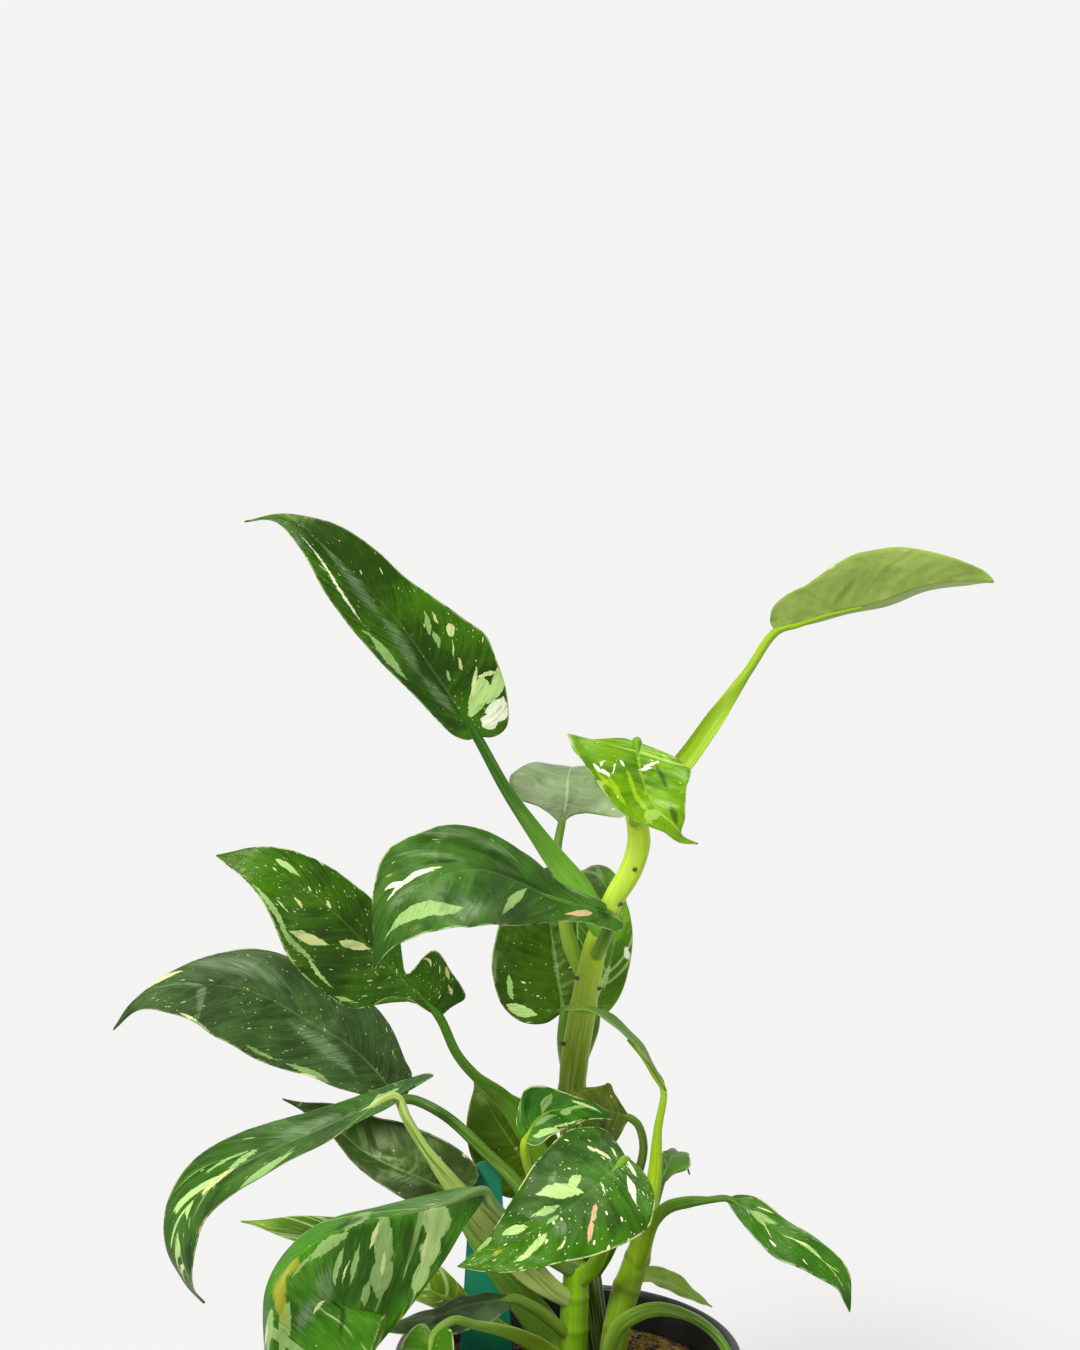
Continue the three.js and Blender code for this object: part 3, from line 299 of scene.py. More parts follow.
        "petiole": [[3, 13, 215, 2], [7, 19, 223, 1.8], [11, 25, 232, 1.6], [12, 28, 239, 1.5]],
        "rib": [[12, 28, 239], [16, 31, 253], [19, 34, 266], [18, 39, 279], [14, 48, 288], [9, 59, 290],
            [6, 67, 285]],
        "left": [[0, 0], [2, 6], [10, 12], [22, 15], [34, 16], [46, 14], [58, 11], [70, 6], [80, 0]],
        "right": [[0, 0], [-2, 3], [6, 7], [18, 8], [30, 7], [42, 6], [54, 6], [68, 4], [80, 0]],
        "face": [[0.2, -0.95, 0.1], [0.2, -0.9, 0.3], [0, -0.6, 0.8]],
    },
    "leaf_edge_on": {
        "fold": 10, "wave": 0.3, "left": 7, "right": 6, "outlines": ["narrow", "narrow"],
        "lobe": [1, 1],
        "petiole": [[28, -3, 158, 2], [30, -6, 171, 2.6, 3], [32, -8, 186, 2.2, 2.6],
            [33, -9, 202, 1.6], [35, -10, 217, 1.2]],
        "rib": [[35, -10, 218], [28, -12, 230], [19, -14, 240], [9, -15, 247], [0, -15, 248],
            [-8, -14, 246]],
        "face": [[0.7, -0.1, 0.7], [0.55, -0.1, 0.8], [0, -0.2, 1]],
    },
    "leaf_small_back": {
        "fold": 14, "wave": 0.6, "waves": 1,
        "petiole": [[28, -3, 156, 1.8], [32, 8, 164, 1.6], [36, 20, 171, 1.4]],
        "rib": [[36, 20, 172], [39, 27, 176], [42, 34, 179], [45, 40, 179], [48, 44, 174],
            [50, 46, 168]],
        "left": [[0, 0], [2, 3], [8, 4], [14, 4], [20, 4], [26, 3], [34, 0]],
        "right": [[0, 0], [3, 2.5], [7, 6], [8, 10], [13, 9], [19, 6], [26, 3.5], [34, 0]],
        "face": [[-0.3, -0.6, 0.7], [-0.2, -0.4, 0.8], [0.3, 0.1, 0.9]],
    },
    "leaf_over_rim": {
        "fold": 6, "wave": 0.5, "waves": 1,
        "petiole": [[18, -3, 122, 2.2], [20, 10, 124, 2], [24, 24, 128, 1.8], [27, 32, 131, 1.6]],
        "rib": [[27, 33, 131], [34, 42, 128], [43, 51, 122], [53, 59, 114], [61, 66, 107]],
        "left": [[0, 0], [1, 2.5], [6, 4.5], [15, 5], [25, 5.5], [35, 4.5], [45, 2.5], [54, 0]],
        "right": [[0, 0], [2, 1.5], [8, 2.5], [17, 3], [27, 3], [37, 2.5], [46, 1.5], [54, 0]],
        "face": [[-0.2, -0.75, 0.65], [-0.2, -0.75, 0.65], [0, -0.6, 0.8]],
    },
    "leaf_front_right": {
        "fold": 10, "wave": 0.7, "left": 19, "right": 19, "outlines": ["ovate", "ovate"],
        "lobe": [5, 5],
        "petiole": [[16, -4, 110, 2.6], [15, -13, 122, 2.6, 3], [19, -21, 135, 2.4, 3],
            [30, -30, 144, 2.1, 2.8], [42, -40, 145.5, 1.8], [50, -50, 143, 1.7], [55, -61, 137, 1.6],
            [58, -71, 128, 1.6]],
        "rib": [[58, -71, 128], [63, -79, 116], [67, -85, 101], [70, -88, 84], [71, -88, 66],
            [70, -85, 50]],
        "face": [[0.5, -0.8, 0.3], [0.5, -0.85, 0.1], [0.4, -0.9, 0]],
    },
    "leaf_low_front": {
        "fold": 14, "wave": 0.4, "waves": 1, "left": 10, "right": 10, "outlines": ["ovate", "ovate"],
        "lobe": [3, 3],
        "petiole": [[1, -8, 110, 2.2], [-3, -17, 120, 2.2, 2.8], [-11, -25, 129, 2.2, 3.2],
            [-21, -38, 139, 1.9, 2.6], [-33, -52, 147.5, 1.6], [-40, -61, 152.5, 1.5],
            [-46, -69, 150.5, 1.4]],
        "rib": [[-46, -70, 150], [-48, -76, 142], [-48, -81, 131], [-46, -84, 119], [-42, -85, 107]],
        "face": [[-0.3, -0.9, 0.3], [-0.3, -0.95, 0.1], [-0.2, -0.95, 0]],
    },
    "leaf_low_dark": {
        "fold": -6, "wave": 0.5,
        "petiole": [[1, -8, 125, 2.4], [-6, -16, 134, 2.2], [-13, -23, 142, 2], [-20, -28, 147, 1.8]],
        "rib": [[-20, -28, 147], [-28, -33, 148], [-38, -38, 148], [-46, -41, 146], [-55, -43, 145],
            [-64, -43, 142]],
        "left": [[0, 0], [4, 4], [12, 8], [20, 9], [28, 8.5], [36, 7], [43, 4], [49, 0]],
        "right": [[0, 0], [3, 3], [10, 5], [18, 5], [26, 4], [34, 4], [42, 3], [49, 0]],
        "face": [[0, -0.45, 0.9], [0, -0.45, 0.9], [-0.3, -0.4, 0.85]],
    },
}


# What each leaf looks like. green: its darker and its lighter green. under: its lower side.
# veins: how far the veins stand out. rib: the midrib's colour. flecks: how many pale flecks.
# hairs: how much of it has fine pale lines along the veins. stripes: how much of it is striped, in
# the colour that stripe names. margin: how pale its edge is. rough: how dull it is. stalk: the
# petiole's colour at its foot and at the blade, and its stripes.
PLAIN = {
    "green": ("#163402", "#305a02"), "under": "#4a6a16", "veins": 0.18, "flecks": 0.3, "hairs": 0.15,
    "stripes": 0.0, "stripe": "pale", "margin": 0.4, "rough": 0.34, "rib": "#5f8438",
    "stalk": ("#5f8a18", "#3c6c10", 0.2),
}
LOOKS = {
    "leaf_upper_left": {"flecks": 0.6, "hairs": 0.25, "veins": 0.08, "rib": "#56744a",
        "stalk": ("#74b034", "#1f4a08", 0.15)},
    "leaf_upper_right": {"green": ("#647f20", "#8aa34c"), "under": "#8a9e50", "veins": 0.15,
        "flecks": 0.5, "hairs": 0.35, "margin": 0.3, "rough": 0.5,
        "stalk": ("#88ac0c", "#7c9c0c", 0.25)},
    "leaf_young": {"green": ("#365f01", "#5c8502"), "under": "#527802", "veins": 0.6, "flecks": 0.2,
        "hairs": 0.6, "stripes": 0.25, "stripe": "fresh", "rough": 0.28, "rib": "#6f9410",
        "stalk": ("#93b41c", "#5f8a0c", 0.2)},
    # The pale grey greens of leaf_upper_back hold a painted sheen, the light that glances off its upper
    # side
    "leaf_upper_back": {"green": ("#4a6034", "#71855a"), "veins": 0.5, "flecks": 0.1, "hairs": 1.0,
        "rib": "#93a676", "stalk": ("#7f9d2a", "#5f8030", 0.2)},
    "leaf_center": {"green": ("#1e3f09", "#365e18"), "flecks": 0.15, "hairs": 0.3, "margin": 0.6,
        "rib": "#587a4a", "stalk": ("#6f9420", "#3f6a12", 0.2)},
    "leaf_mid_left": {"flecks": 0.9, "margin": 0.7},
    "leaf_left_large": {"green": ("#1a2f12", "#304a20"), "flecks": 0.5, "hairs": 0.55, "veins": 0.2,
        "rough": 0.42, "rib": "#5d7048", "stalk": ("#5f8420", "#335c12", 0.3)},
    "leaf_left_droop": {"green": ("#183605", "#2c5410"), "flecks": 0.15, "hairs": 0.6, "stripes": 0.1,
        "stalk": ("#7d9040", "#4f7a20", 0.9)},
    "leaf_left_behind": {"green": ("#1a3009", "#2f4614"), "flecks": 0.12, "hairs": 0.3, "veins": 0.4,
        "stalk": ("#6f9a2c", "#48701c", 0.3)},
    "leaf_front_left": {"green": ("#1b4503", "#37700a"), "flecks": 0.1, "hairs": 0.7, "stripes": 0.1,
        "margin": 0.8, "stalk": ("#66843a", "#5a7440", 0.3)},
    "leaf_low_left": {"green": ("#3c5f06", "#6f8a14"), "under": "#6a8420", "flecks": 0.5, "hairs": 0.8,
        "stripes": 0.4, "stripe": "lime", "stalk": ("#6f8a2a", "#6f8a2a", 0.2)},
    "leaf_front_center": {"green": ("#173902", "#2e5c02"), "flecks": 1.3, "hairs": 0.08, "margin": 0.95,
        "veins": 0.1, "rib": "#4f8a1c", "stalk": ("#688c10", "#5f8a10", 0.2)},
    "leaf_small_center": {"green": ("#1c4a08", "#346c12"), "flecks": 0.15, "hairs": 0.4,
        "stripes": 0.15, "veins": 0.5, "rib": "#7f9d2c", "margin": 0.9,
        "stalk": ("#7f9c10", "#86a018", 0.15)},
    "leaf_curled": {"green": ("#39480a", "#5c6c10"), "under": "#66760f", "flecks": 0.1, "margin": 0.2,
        "stalk": ("#4a6a10", "#4a6410", 0.2)},
    "leaf_back_left": {"green": ("#334d04", "#4b680a"), "veins": 0.5, "flecks": 0.08, "hairs": 0.1,
        "margin": 0.3, "rib": "#7c8f3c", "stalk": ("#4f7214", "#48680f", 0.2)},
    "leaf_right": {"green": ("#1c4305", "#305f10"), "flecks": 0.4, "hairs": 0.3, "margin": 0.5,
        "stalk": ("#7c9a12", "#345608", 0.15)},
    "leaf_behind_left": {"green": ("#182f02", "#2c4c05"), "flecks": 0.25, "veins": 0.25,
        "rib": "#7d9c4c", "stalk": ("#4f7214", "#3f620f", 0.2)},
    "leaf_behind_right": {"green": ("#305808", "#588610"), "flecks": 0.4, "stripes": 0.1,
        "rib": "#86a24a"},
    "leaf_edge_on": {"green": ("#3c610a", "#587c14"), "under": "#5c7c1c", "veins": 0.4, "margin": 0.3,
        "stalk": ("#98b814", "#8cac12", 0.2)},
    "leaf_small_back": {"green": ("#2f5310", "#4c7420"), "veins": 0.4},
    "leaf_over_rim": {"green": ("#4a680e", "#648020"), "veins": 0.3, "flecks": 0.05, "hairs": 0.1,
        "rib": "#7c9440", "stalk": ("#6f8a2a", "#647c24", 0.2)},
    "leaf_front_right": {"flecks": 0.4, "stripes": 0.25, "margin": 0.6,
        "stalk": ("#6f9424", "#3f6a14", 0.4)},
    "leaf_low_front": {"stalk": ("#7c9a1c", "#66882a", 0.2)},
    "leaf_low_dark": {"green": ("#22301a", "#3a4c30"), "hairs": 0.8, "flecks": 0.1, "veins": 0.3,
        "stalk": ("#789420", "#587824", 0.2)},
}
SLOTS = {
    "leaf_young": "leaf_young",
    "leaf_edge_on": "leaf_young",
    "leaf_upper_right": "leaf_olive",
    "leaf_over_rim": "leaf_olive",
    "leaf_left_large": "leaf_dark",
    "leaf_left_behind": "leaf_dark",
    "leaf_low_dark": "leaf_dark",
}

# The colours of the markings, in the order in which they lie over each other, and those whose
# markings have soft edges. Some of them are painted light: the sheen colour is painted sheen, and
# the white and the dark colours also serve as painted highlights and painted shade.
COLOURS = {
    "painted_sheen": "#5f7653", "sage": "#64804a", "pale": "#7b9a58", "fresh": "#86a31c", "lime": "#97b36c",
    # white is the leaves' own white, and also painted highlights
    "cream": "#b9bd80", "white_and_highlight": "#c9cbb6", "salmon": "#b98a6c", "yellow": "#94902a",
    # dark is darker green, and also painted shade in folds, under ridges and between them
    "dark_green_and_shade": "#0f2804",
}
SOFT = ("painted_sheen", "fresh", "dark_green_and_shade", "yellow")

# Markings that the photograph shows on each leaf, by colour. Each is (middle across, middle down, far
# end across, far end down, half width) in pixels of the 1080 by 1350 photograph, and is set on the
# leaf where the camera sees it.
MARKINGS = {
    "leaf_upper_left": {
        "pale": [(427, 624, 430, 638, 4), (437, 641, 441, 650, 3.5), (449, 677, 451, 684, 2.5),
            (388, 656, 408, 680, 5)],
        "lime": [(479, 700, 476, 727, 9), (487, 690, 486, 676, 12), (499, 684, 503, 668, 10)],
        "cream": [(450, 630, 453, 638, 5), (436, 620, 440, 628, 2), (454, 650, 457, 661, 1.8),
            (460, 664, 462, 672, 1.5), (474, 684, 472, 702, 2.5), (486, 675, 496, 671, 2.5)],
        # Of the white rows, the two thin lines along the left edge are painted highlights
        "white_and_highlight": [(498, 712, 505, 696, 14), (490, 724, 498, 717, 11), (338, 586, 362, 624, 1.2),
            (316, 553, 330, 574, 1)],
        "painted_sheen": [(352, 578, 384, 622, 7), (404, 646, 432, 684, 8), (440, 696, 460, 720, 7)],
        "dark_green_and_shade": [(456, 724, 474, 735, 9)],
    },
    "leaf_center": {
        "white_and_highlight": [(412, 877, 444, 866, 3.4), (394, 884, 406, 880, 3.6)],
        "pale": [(420, 909, 455, 879, 9), (513, 900, 527, 888, 6)],
        "painted_sheen": [(430, 852, 470, 846, 5), (496, 846, 530, 853, 4), (545, 864, 566, 880, 4),
            (582, 891, 600, 904, 4), (472, 911, 490, 905, 12), (403, 895, 415, 880, 8),
            (455, 833, 490, 836, 5)],
        # The dark rows here are painted shade under and between the ridges and on the base lobe
        "dark_green_and_shade": [(500, 858, 540, 870, 5), (440, 862, 470, 857, 4), (604, 912, 614, 920, 8),
            (520, 880, 560, 892, 5)],
        "salmon": [(581, 912, 597, 910, 3)],
        "yellow": [(390, 875, 394, 873, 2.5)],
    },
    "leaf_mid_left": {
        "cream": [(309, 937, 330, 945, 6), (304, 934, 312, 938, 5), (355, 945, 372, 950, 4.5),
            (429, 961, 431, 968, 2), (448, 972, 450, 979, 2), (452, 990, 455, 997, 2.2),
            (283, 905, 290, 912, 2), (330, 905, 334, 910, 1.6), (300, 902, 306, 910, 1.6)],
        "lime": [(288, 865, 300, 876, 4), (318, 972, 334, 990, 2.5), (345, 1000, 355, 1003, 2)],
        "pale": [(272, 905, 288, 932, 3), (296, 945, 312, 966, 3)],
    },
    "leaf_left_large": {
        "sage": [(200, 1022, 222, 1032, 4), (312, 1072, 338, 1082, 3.5), (260, 1052, 280, 1060, 2)],
        "cream": [(160, 979, 182, 970, 2), (190, 1016, 200, 1020, 1.8), (310, 1075, 320, 1078, 1.4)],
        "painted_sheen": [(200, 985, 300, 1020, 12), (240, 965, 300, 985, 12), (330, 1050, 375, 1085, 9)],
    },
    "leaf_left_droop": {
        "pale": [(267, 1168, 296, 1149, 4), (382, 1098, 400, 1088, 4.5), (228, 1160, 250, 1146, 3),
            (245, 1158, 262, 1146, 2.5)],
        "lime": [(196, 1190, 214, 1170, 8), (179, 1218, 186, 1196, 7), (176, 1252, 178, 1232, 4)],
        "cream": [(181, 1270, 188, 1288, 3), (218, 1178, 236, 1162, 2.5), (380, 1099, 390, 1093, 2)],
        "salmon": [(206, 1224, 211, 1214, 2.2)],
        "dark_green_and_shade": [(206, 1212, 226, 1180, 6), (188, 1258, 192, 1230, 6), (235, 1172, 260, 1152, 4)],
        "painted_sheen": [(305, 1128, 350, 1108, 8)],
    },
    "leaf_left_behind": {
        "pale": [(300, 1102, 318, 1107, 3)],
        "painted_sheen": [(405, 1178, 434, 1190, 5), (380, 1156, 410, 1170, 3)],
        "white_and_highlight": [(465, 1151, 467, 1153, 2.4), (473, 1143, 475, 1145, 1.5)],
    },
    "leaf_front_left": {
        "pale": [(385, 1244, 389, 1212, 13), (381, 1276, 384, 1254, 12), (354, 1262, 359, 1238, 4.5),
            (327, 1245, 348, 1232, 6), (304, 1264, 316, 1250, 5), (284, 1330, 290, 1300, 6),
            (268, 1330, 272, 1306, 5), (338, 1268, 344, 1246, 4), (366, 1292, 369, 1276, 3.5),
            (360, 1218, 378, 1208, 4)],
        "lime": [(439, 1222, 442, 1200, 17), (431, 1250, 435, 1230, 12), (422, 1276, 428, 1256, 8)],
        "fresh": [(402, 1322, 410, 1296, 5)],
        "yellow": [(292, 1266, 300, 1250, 8), (279, 1290, 288, 1272, 8)],
        "cream": [(425, 1250, 428, 1230, 2.4), (376, 1236, 379, 1222, 1.8), (345, 1272, 348, 1260, 1.4),
            (383, 1262, 385, 1248, 1.6), (266, 1336, 268, 1322, 2.4), (320, 1304, 326, 1294, 1.6)],
        "painted_sheen": [(326, 1288, 334, 1262, 14), (308, 1312, 318, 1290, 11), (440, 1198, 478, 1186, 9),
            (380, 1200, 420, 1192, 7)],
        "dark_green_and_shade": [(408, 1240, 410, 1212, 8), (344, 1318, 348, 1292, 5), (350, 1222, 330, 1232, 4)],
    },
    "leaf_front_center": {
        "lime": [(560, 1190, 586, 1186, 7.5), (575, 1181, 583, 1174, 6), (513, 1230, 528, 1227, 5),
            (535, 1245, 546, 1232, 4.5), (524, 1256, 534, 1250, 3.5)],
        "pale": [(546, 1210, 559, 1206, 5), (484, 1243, 494, 1237, 3), (552, 1219, 560, 1214, 3)],
        "cream": [(602, 1153, 613, 1159, 1.5), (591, 1148, 597, 1151, 1.6), (562, 1243, 566, 1237, 1.3),
            (536, 1213, 544, 1210, 1.4), (615, 1152, 619, 1158, 1.4)],
        "white_and_highlight": [(604, 1188, 606, 1195, 1.8), (632, 1188, 637, 1204, 3.8),
            (631, 1166, 637, 1176, 1.8)],
        "salmon": [(594, 1212, 598, 1200, 2.8), (590, 1231, 587, 1243, 3.6)],
        "yellow": [(497, 1251, 500, 1251, 3)],
        "painted_sheen": [(562, 1226, 573, 1224, 11), (553, 1178, 560, 1168, 5)],
    },
    "leaf_right": {
        "lime": [(808, 1247, 824, 1260, 3.2), (831, 1268, 843, 1286, 2), (788, 1236, 798, 1240, 1.6)],
        "cream": [(801, 1241, 812, 1247, 1.2), (766, 1209, 776, 1213, 1.4),
            (767, 1228, 773, 1239, 1.2)],
        "pale": [(757, 1214, 768, 1226, 3.5)],
        "white_and_highlight": [(773, 1243, 776, 1247, 1.4), (804, 1260, 807, 1263, 1.2)],
        "painted_sheen": [(800, 1228, 826, 1250, 4)],
    },
    "leaf_small_center": {
        "pale": [(572, 1107, 598, 1108, 3.6)],
        "sage": [(546, 1102, 550, 1091, 4.5), (545, 1118, 556, 1110, 3)],
        "lime": [(546, 1131, 560, 1126, 3.5)],
        "cream": [(588, 1105, 606, 1114, 1.4), (562, 1124, 582, 1118, 1.2)],
        "dark_green_and_shade": [(526, 1106, 525, 1092, 7), (590, 1118, 604, 1120, 5)],
    },
    "leaf_behind_left": {
        "lime": [(522, 1010, 538, 1018, 7)],
        "painted_sheen": [(556, 962, 562, 1000, 3)],
        "pale": [(510, 985, 514, 1000, 4)],
    },
    "leaf_behind_right": {
        "yellow": [(605, 893, 608, 896, 4)],
        "white_and_highlight": [(628, 953, 631, 960, 3.5)],
        "lime": [(604, 985, 611, 960, 3)],
        "dark_green_and_shade": [(598, 885, 606, 905, 10)],
    },
    "leaf_upper_right": {
        "dark_green_and_shade": [(850, 588, 872, 566, 5), (880, 577, 905, 556, 4)],
        "white_and_highlight": [(806, 585, 809, 590, 1.8), (830, 566, 833, 568, 1.4)],
    },
    "leaf_young": {
        "white_and_highlight": [(598, 768, 603, 773, 2), (606, 772, 611, 776, 2.2), (613, 768, 618, 763, 1.5),
            (623, 763, 627, 768, 1.4), (650, 764, 660, 758, 1.8), (645, 768, 652, 766, 1.4),
            (602, 762, 606, 759, 1.2)],
        "fresh": [(616, 788, 630, 808, 4), (632, 782, 642, 802, 3), (606, 780, 616, 792, 3),
            (640, 800, 650, 818, 3)],
        # The dark rows are painted shade at the lower right of the curled blade
        "dark_green_and_shade": [(673, 815, 677, 828, 4), (662, 776, 668, 792, 3)],
    },
    "leaf_curled": {
        "dark_green_and_shade": [(602, 1118, 612, 1135, 5)],
    },
}


# Curves

def unit(vectors):
    lengths = np.linalg.norm(vectors, axis=-1, keepdims=True)
    return vectors / np.maximum(lengths, 1e-9)


def across_from(vectors, directions):
    """The part of each vector that is at right angles to its direction."""
    return unit(vectors - directions * np.sum(vectors * directions, axis=-1, keepdims=True))


def split(shares, spans):
    """Which of some even spans each share falls in, and how far into it."""
    place = np.asarray(shares, float) * spans
    first = np.clip(np.floor(place).astype(int), 0, spans - 1)
    return first, (place - first)[..., None]


def cubic(start, end, into, away, weight):
    """Points between a start and an end that have these slopes."""
    return (start + into * weight + (3 * (end - start) - 2 * into - away) * weight ** 2
            + (2 * (start - end) + into + away) * weight ** 3)


def smooth(points, shares):
    """Points of the smooth curve through these points, at these shares."""
    last = len(points) - 1
    first, weight = split(shares, last)
    before, start, end, after = (points[np.clip(first + step, 0, last)] for step in (-1, 0, 1, 2))
    return cubic(start, end, (end - before) / 2, (after - start) / 2, weight)


def mixed(values, shares):
    """Values that change evenly from the first to the last."""
    values = np.array(values, float)
    first, weight = split(np.clip(shares, 0, 1), len(values) - 1)
    return values[first] * (1 - weight) + values[first + 1] * weight


class Curve:
    """A centripetal Catmull-Rom curve through points, which can be read by length."""

    def __init__(self, points, divisions=400):
        points = np.array([point[:3] for point in points], float)
        before = 2 * points[0] - points[1]
        after = 2 * points[-1] - points[-2]
        self.points = np.vstack([before, points, after])
        self.shares = np.linspace(0, 1, divisions + 1)
        steps = np.diff(self.at(self.shares), axis=0)
        self.lengths = np.concatenate([[0], np.cumsum(np.linalg.norm(steps, axis=1))])
        self.length = self.lengths[-1]

    def at(self, shares):
        """The points at these shares of the control points."""
        first, weight = split(np.clip(shares, -0.01, 1.01), len(self.points) - 3)
        a, b, c, d = (self.points[first + step] for step in range(4))
        gaps = [np.sqrt(np.linalg.norm(high - low, axis=-1))[..., None]
                for low, high in ((a, b), (b, c), (c, d))]
        into = (b - a) / gaps[0] - (c - a) / (gaps[0] + gaps[1]) + (c - b) / gaps[1]
        away = (c - b) / gaps[1] - (d - b) / (gaps[1] + gaps[2]) + (d - c) / gaps[2]
        return cubic(b, c, into * gaps[1], away * gaps[1], weight)

    def by_length(self, shares):
        """Shares of the length, as shares of the control points."""
        return np.interp(np.asarray(shares) * self.length, self.lengths, self.shares)

    def along(self, shares):
        """The points at these shares of the length."""
        return self.at(self.by_length(shares))

    def tangent(self, shares):
        """The directions at these shares of the length."""
        at = self.by_length(shares)
        return unit(self.at(at + 1e-4) - self.at(at - 1e-4))


# Meshes

class Shape:
    """Points, faces, the coordinates that the materials read, and a material for each face."""

    def __init__(self):
        self.points = []
        self.marks = []
        self.faces = []
        self.looks = []
        self.count = 0

    def add(self, points, marks, faces=(), look=0):
        """Adds points, and faces that count from the first of them, whose number it gives."""
        first = self.count
        points = np.asarray(points, float).reshape(-1, 3)
        self.points.append(points)
        self.marks.append(np.broadcast_to(np.reshape(marks, (-1, 3)), points.shape))
        self.count += len(points)
        self.join([[first + corner for corner in face] for face in faces], look)
        return first

    def join(self, faces, look=0):
        """Adds faces between points that are there."""
        self.faces.extend(faces)
        self.looks.extend([look] * len(faces))

    def build(self, name, materials):
        mesh = bpy.data.meshes.new(name)
        points = np.vstack(self.points) * MM
        mesh.from_pydata(points.tolist(), [], self.faces)
        marks = mesh.attributes.new("mark", "FLOAT_VECTOR", "POINT")
        marks.data.foreach_set("vector", np.vstack(self.marks).astype(np.float32).ravel())
        for material in materials:
            mesh.materials.append(material)
        mesh.polygons.foreach_set("material_index", self.looks)
        mesh.shade_smooth()
        mesh.update()
        return add_object(name, mesh)


def add_object(name, data):
    made = bpy.data.objects.new(name, data)
    bpy.context.scene.collection.objects.link(made)
    return made


def grid_faces(rows, columns, flip=False):
    """Quads of a grid of points, which face up where rows run forward and columns to the right."""
    corners = (0, 1, columns + 1, columns)
    if flip:
        corners = corners[::-1]
    return [[row * columns + column + corner for corner in corners]
            for row in range(rows - 1) for column in range(columns - 1)]


def ring_faces(rings, sides):
    """Quads of a tube's rings of points."""
    faces = []
    for low in range(0, (rings - 1) * sides, sides):
        for side in range(sides):
            after = (side + 1) % sides
            faces.append((low + side, low + after, low + sides + after, low + sides + side))
    return faces


def pointed_ends(rings, sides):
    """Triangles that close a tube's ends, around two points that follow its rings."""
    top = (rings - 1) * sides
    faces = []
    for side in range(sides):
        after = (side + 1) % sides
        faces.append((rings * sides, after, side))
        faces.append((rings * sides + 1, top + side, top + after))
    return faces


def flat_ends(rings, sides):
    """The two flat faces that close a tube's ends."""
    top = (rings - 1) * sides
    return [range(sides)[::-1], range(top, top + sides)]


# Leaves

def half_outline(leaf, hand, length):
    """The outline of one half of a leaf: along the midrib and out from it."""
    half = leaf["right" if hand else "left"]
    if isinstance(half, list):
        return np.array(half, float)
    points = np.array(OUTLINES[leaf["outlines"][hand]], float)
    turn = np.minimum(1, np.linspace(0, 1, len(points)) / 0.38)
    along = points[:, 0] * length - leaf["lobe"][hand] * np.sin(np.pi * turn)
    return np.stack([along, points[:, 1] * half], -1)


def half_width(leaf, hand):
    """The half width of a leaf where it is widest."""
    return half_outline(leaf, hand, 1.0)[:, 1].max()


def vein_number(leaf):
    """How many pairs of side veins a leaf has."""
    return 11 + half_width(leaf, 0) / 6


def blade_points(leaf, shares, sides):
    """The middle surface of a blade: shares run from the sinus to the tip, sides from -1 at the
    left edge to 1 at the right edge."""
    rib = Curve(leaf["rib"])
    share, side = np.meshgrid(shares, sides, indexing="ij")
    reach = np.abs(side)
    edges = [smooth(half_outline(leaf, hand, rib.length), shares)[:, None, :] for hand in (0, 1)]
    edge = np.where((side < 0)[..., None], edges[0], edges[1])
    tear = leaf.get("tear")
    if tear:
        torn = np.exp(-((share - tear["at"]) / tear["wide"]) ** 2) * (side * tear["side"] > 0)
        edge = edge - np.stack([tear["lean"] * torn, tear["deep"] * torn * edge[..., 1]], -1)
    along = (1 - reach) * share ** 2 * rib.length + reach * edge[..., 0]
    place = np.clip(along / rib.length, 0, 1)
    tangent = rib.tangent(place)
    upper = across_from(mixed(leaf["face"], place), tangent)
    across = np.cross(tangent, upper)
    half = edge[..., 1]
    fold = math.radians(leaf["fold"])
    ripple = np.sin(2 * np.pi * leaf.get("waves", 2) * share + side) * np.sin(np.pi * share)
    lift = half * reach * math.sin(fold) + leaf["wave"] * ripple * reach ** 2
    vein = share - VEIN_BEND * reach ** 2
    quilt = np.abs(np.sin(np.pi * vein_number(leaf) * vein))
    lift -= 0.12 * quilt * np.sin(np.pi * reach) * (1 - share)
    lift += 0.35 * np.sin(9 * np.pi * share + 2.1 * side + rib.length) * reach ** 4
    point = rib.along(place) + tangent * np.minimum(0, along)[..., None]
    point += across * (side * half * math.cos(fold))[..., None]
    return point + upper * lift[..., None]


def seen_at(points):
    """Where the camera sees points, in pixels of the photograph."""
    apart = points - np.array(CAMERA)
    across = PHOTO_WIDE / 2 + FOCAL * apart[..., 0] / apart[..., 1]
    down = PHOTO_HIGH / 2 - FOCAL * apart[..., 2] / apart[..., 1]
    return np.stack([across, down], -1)


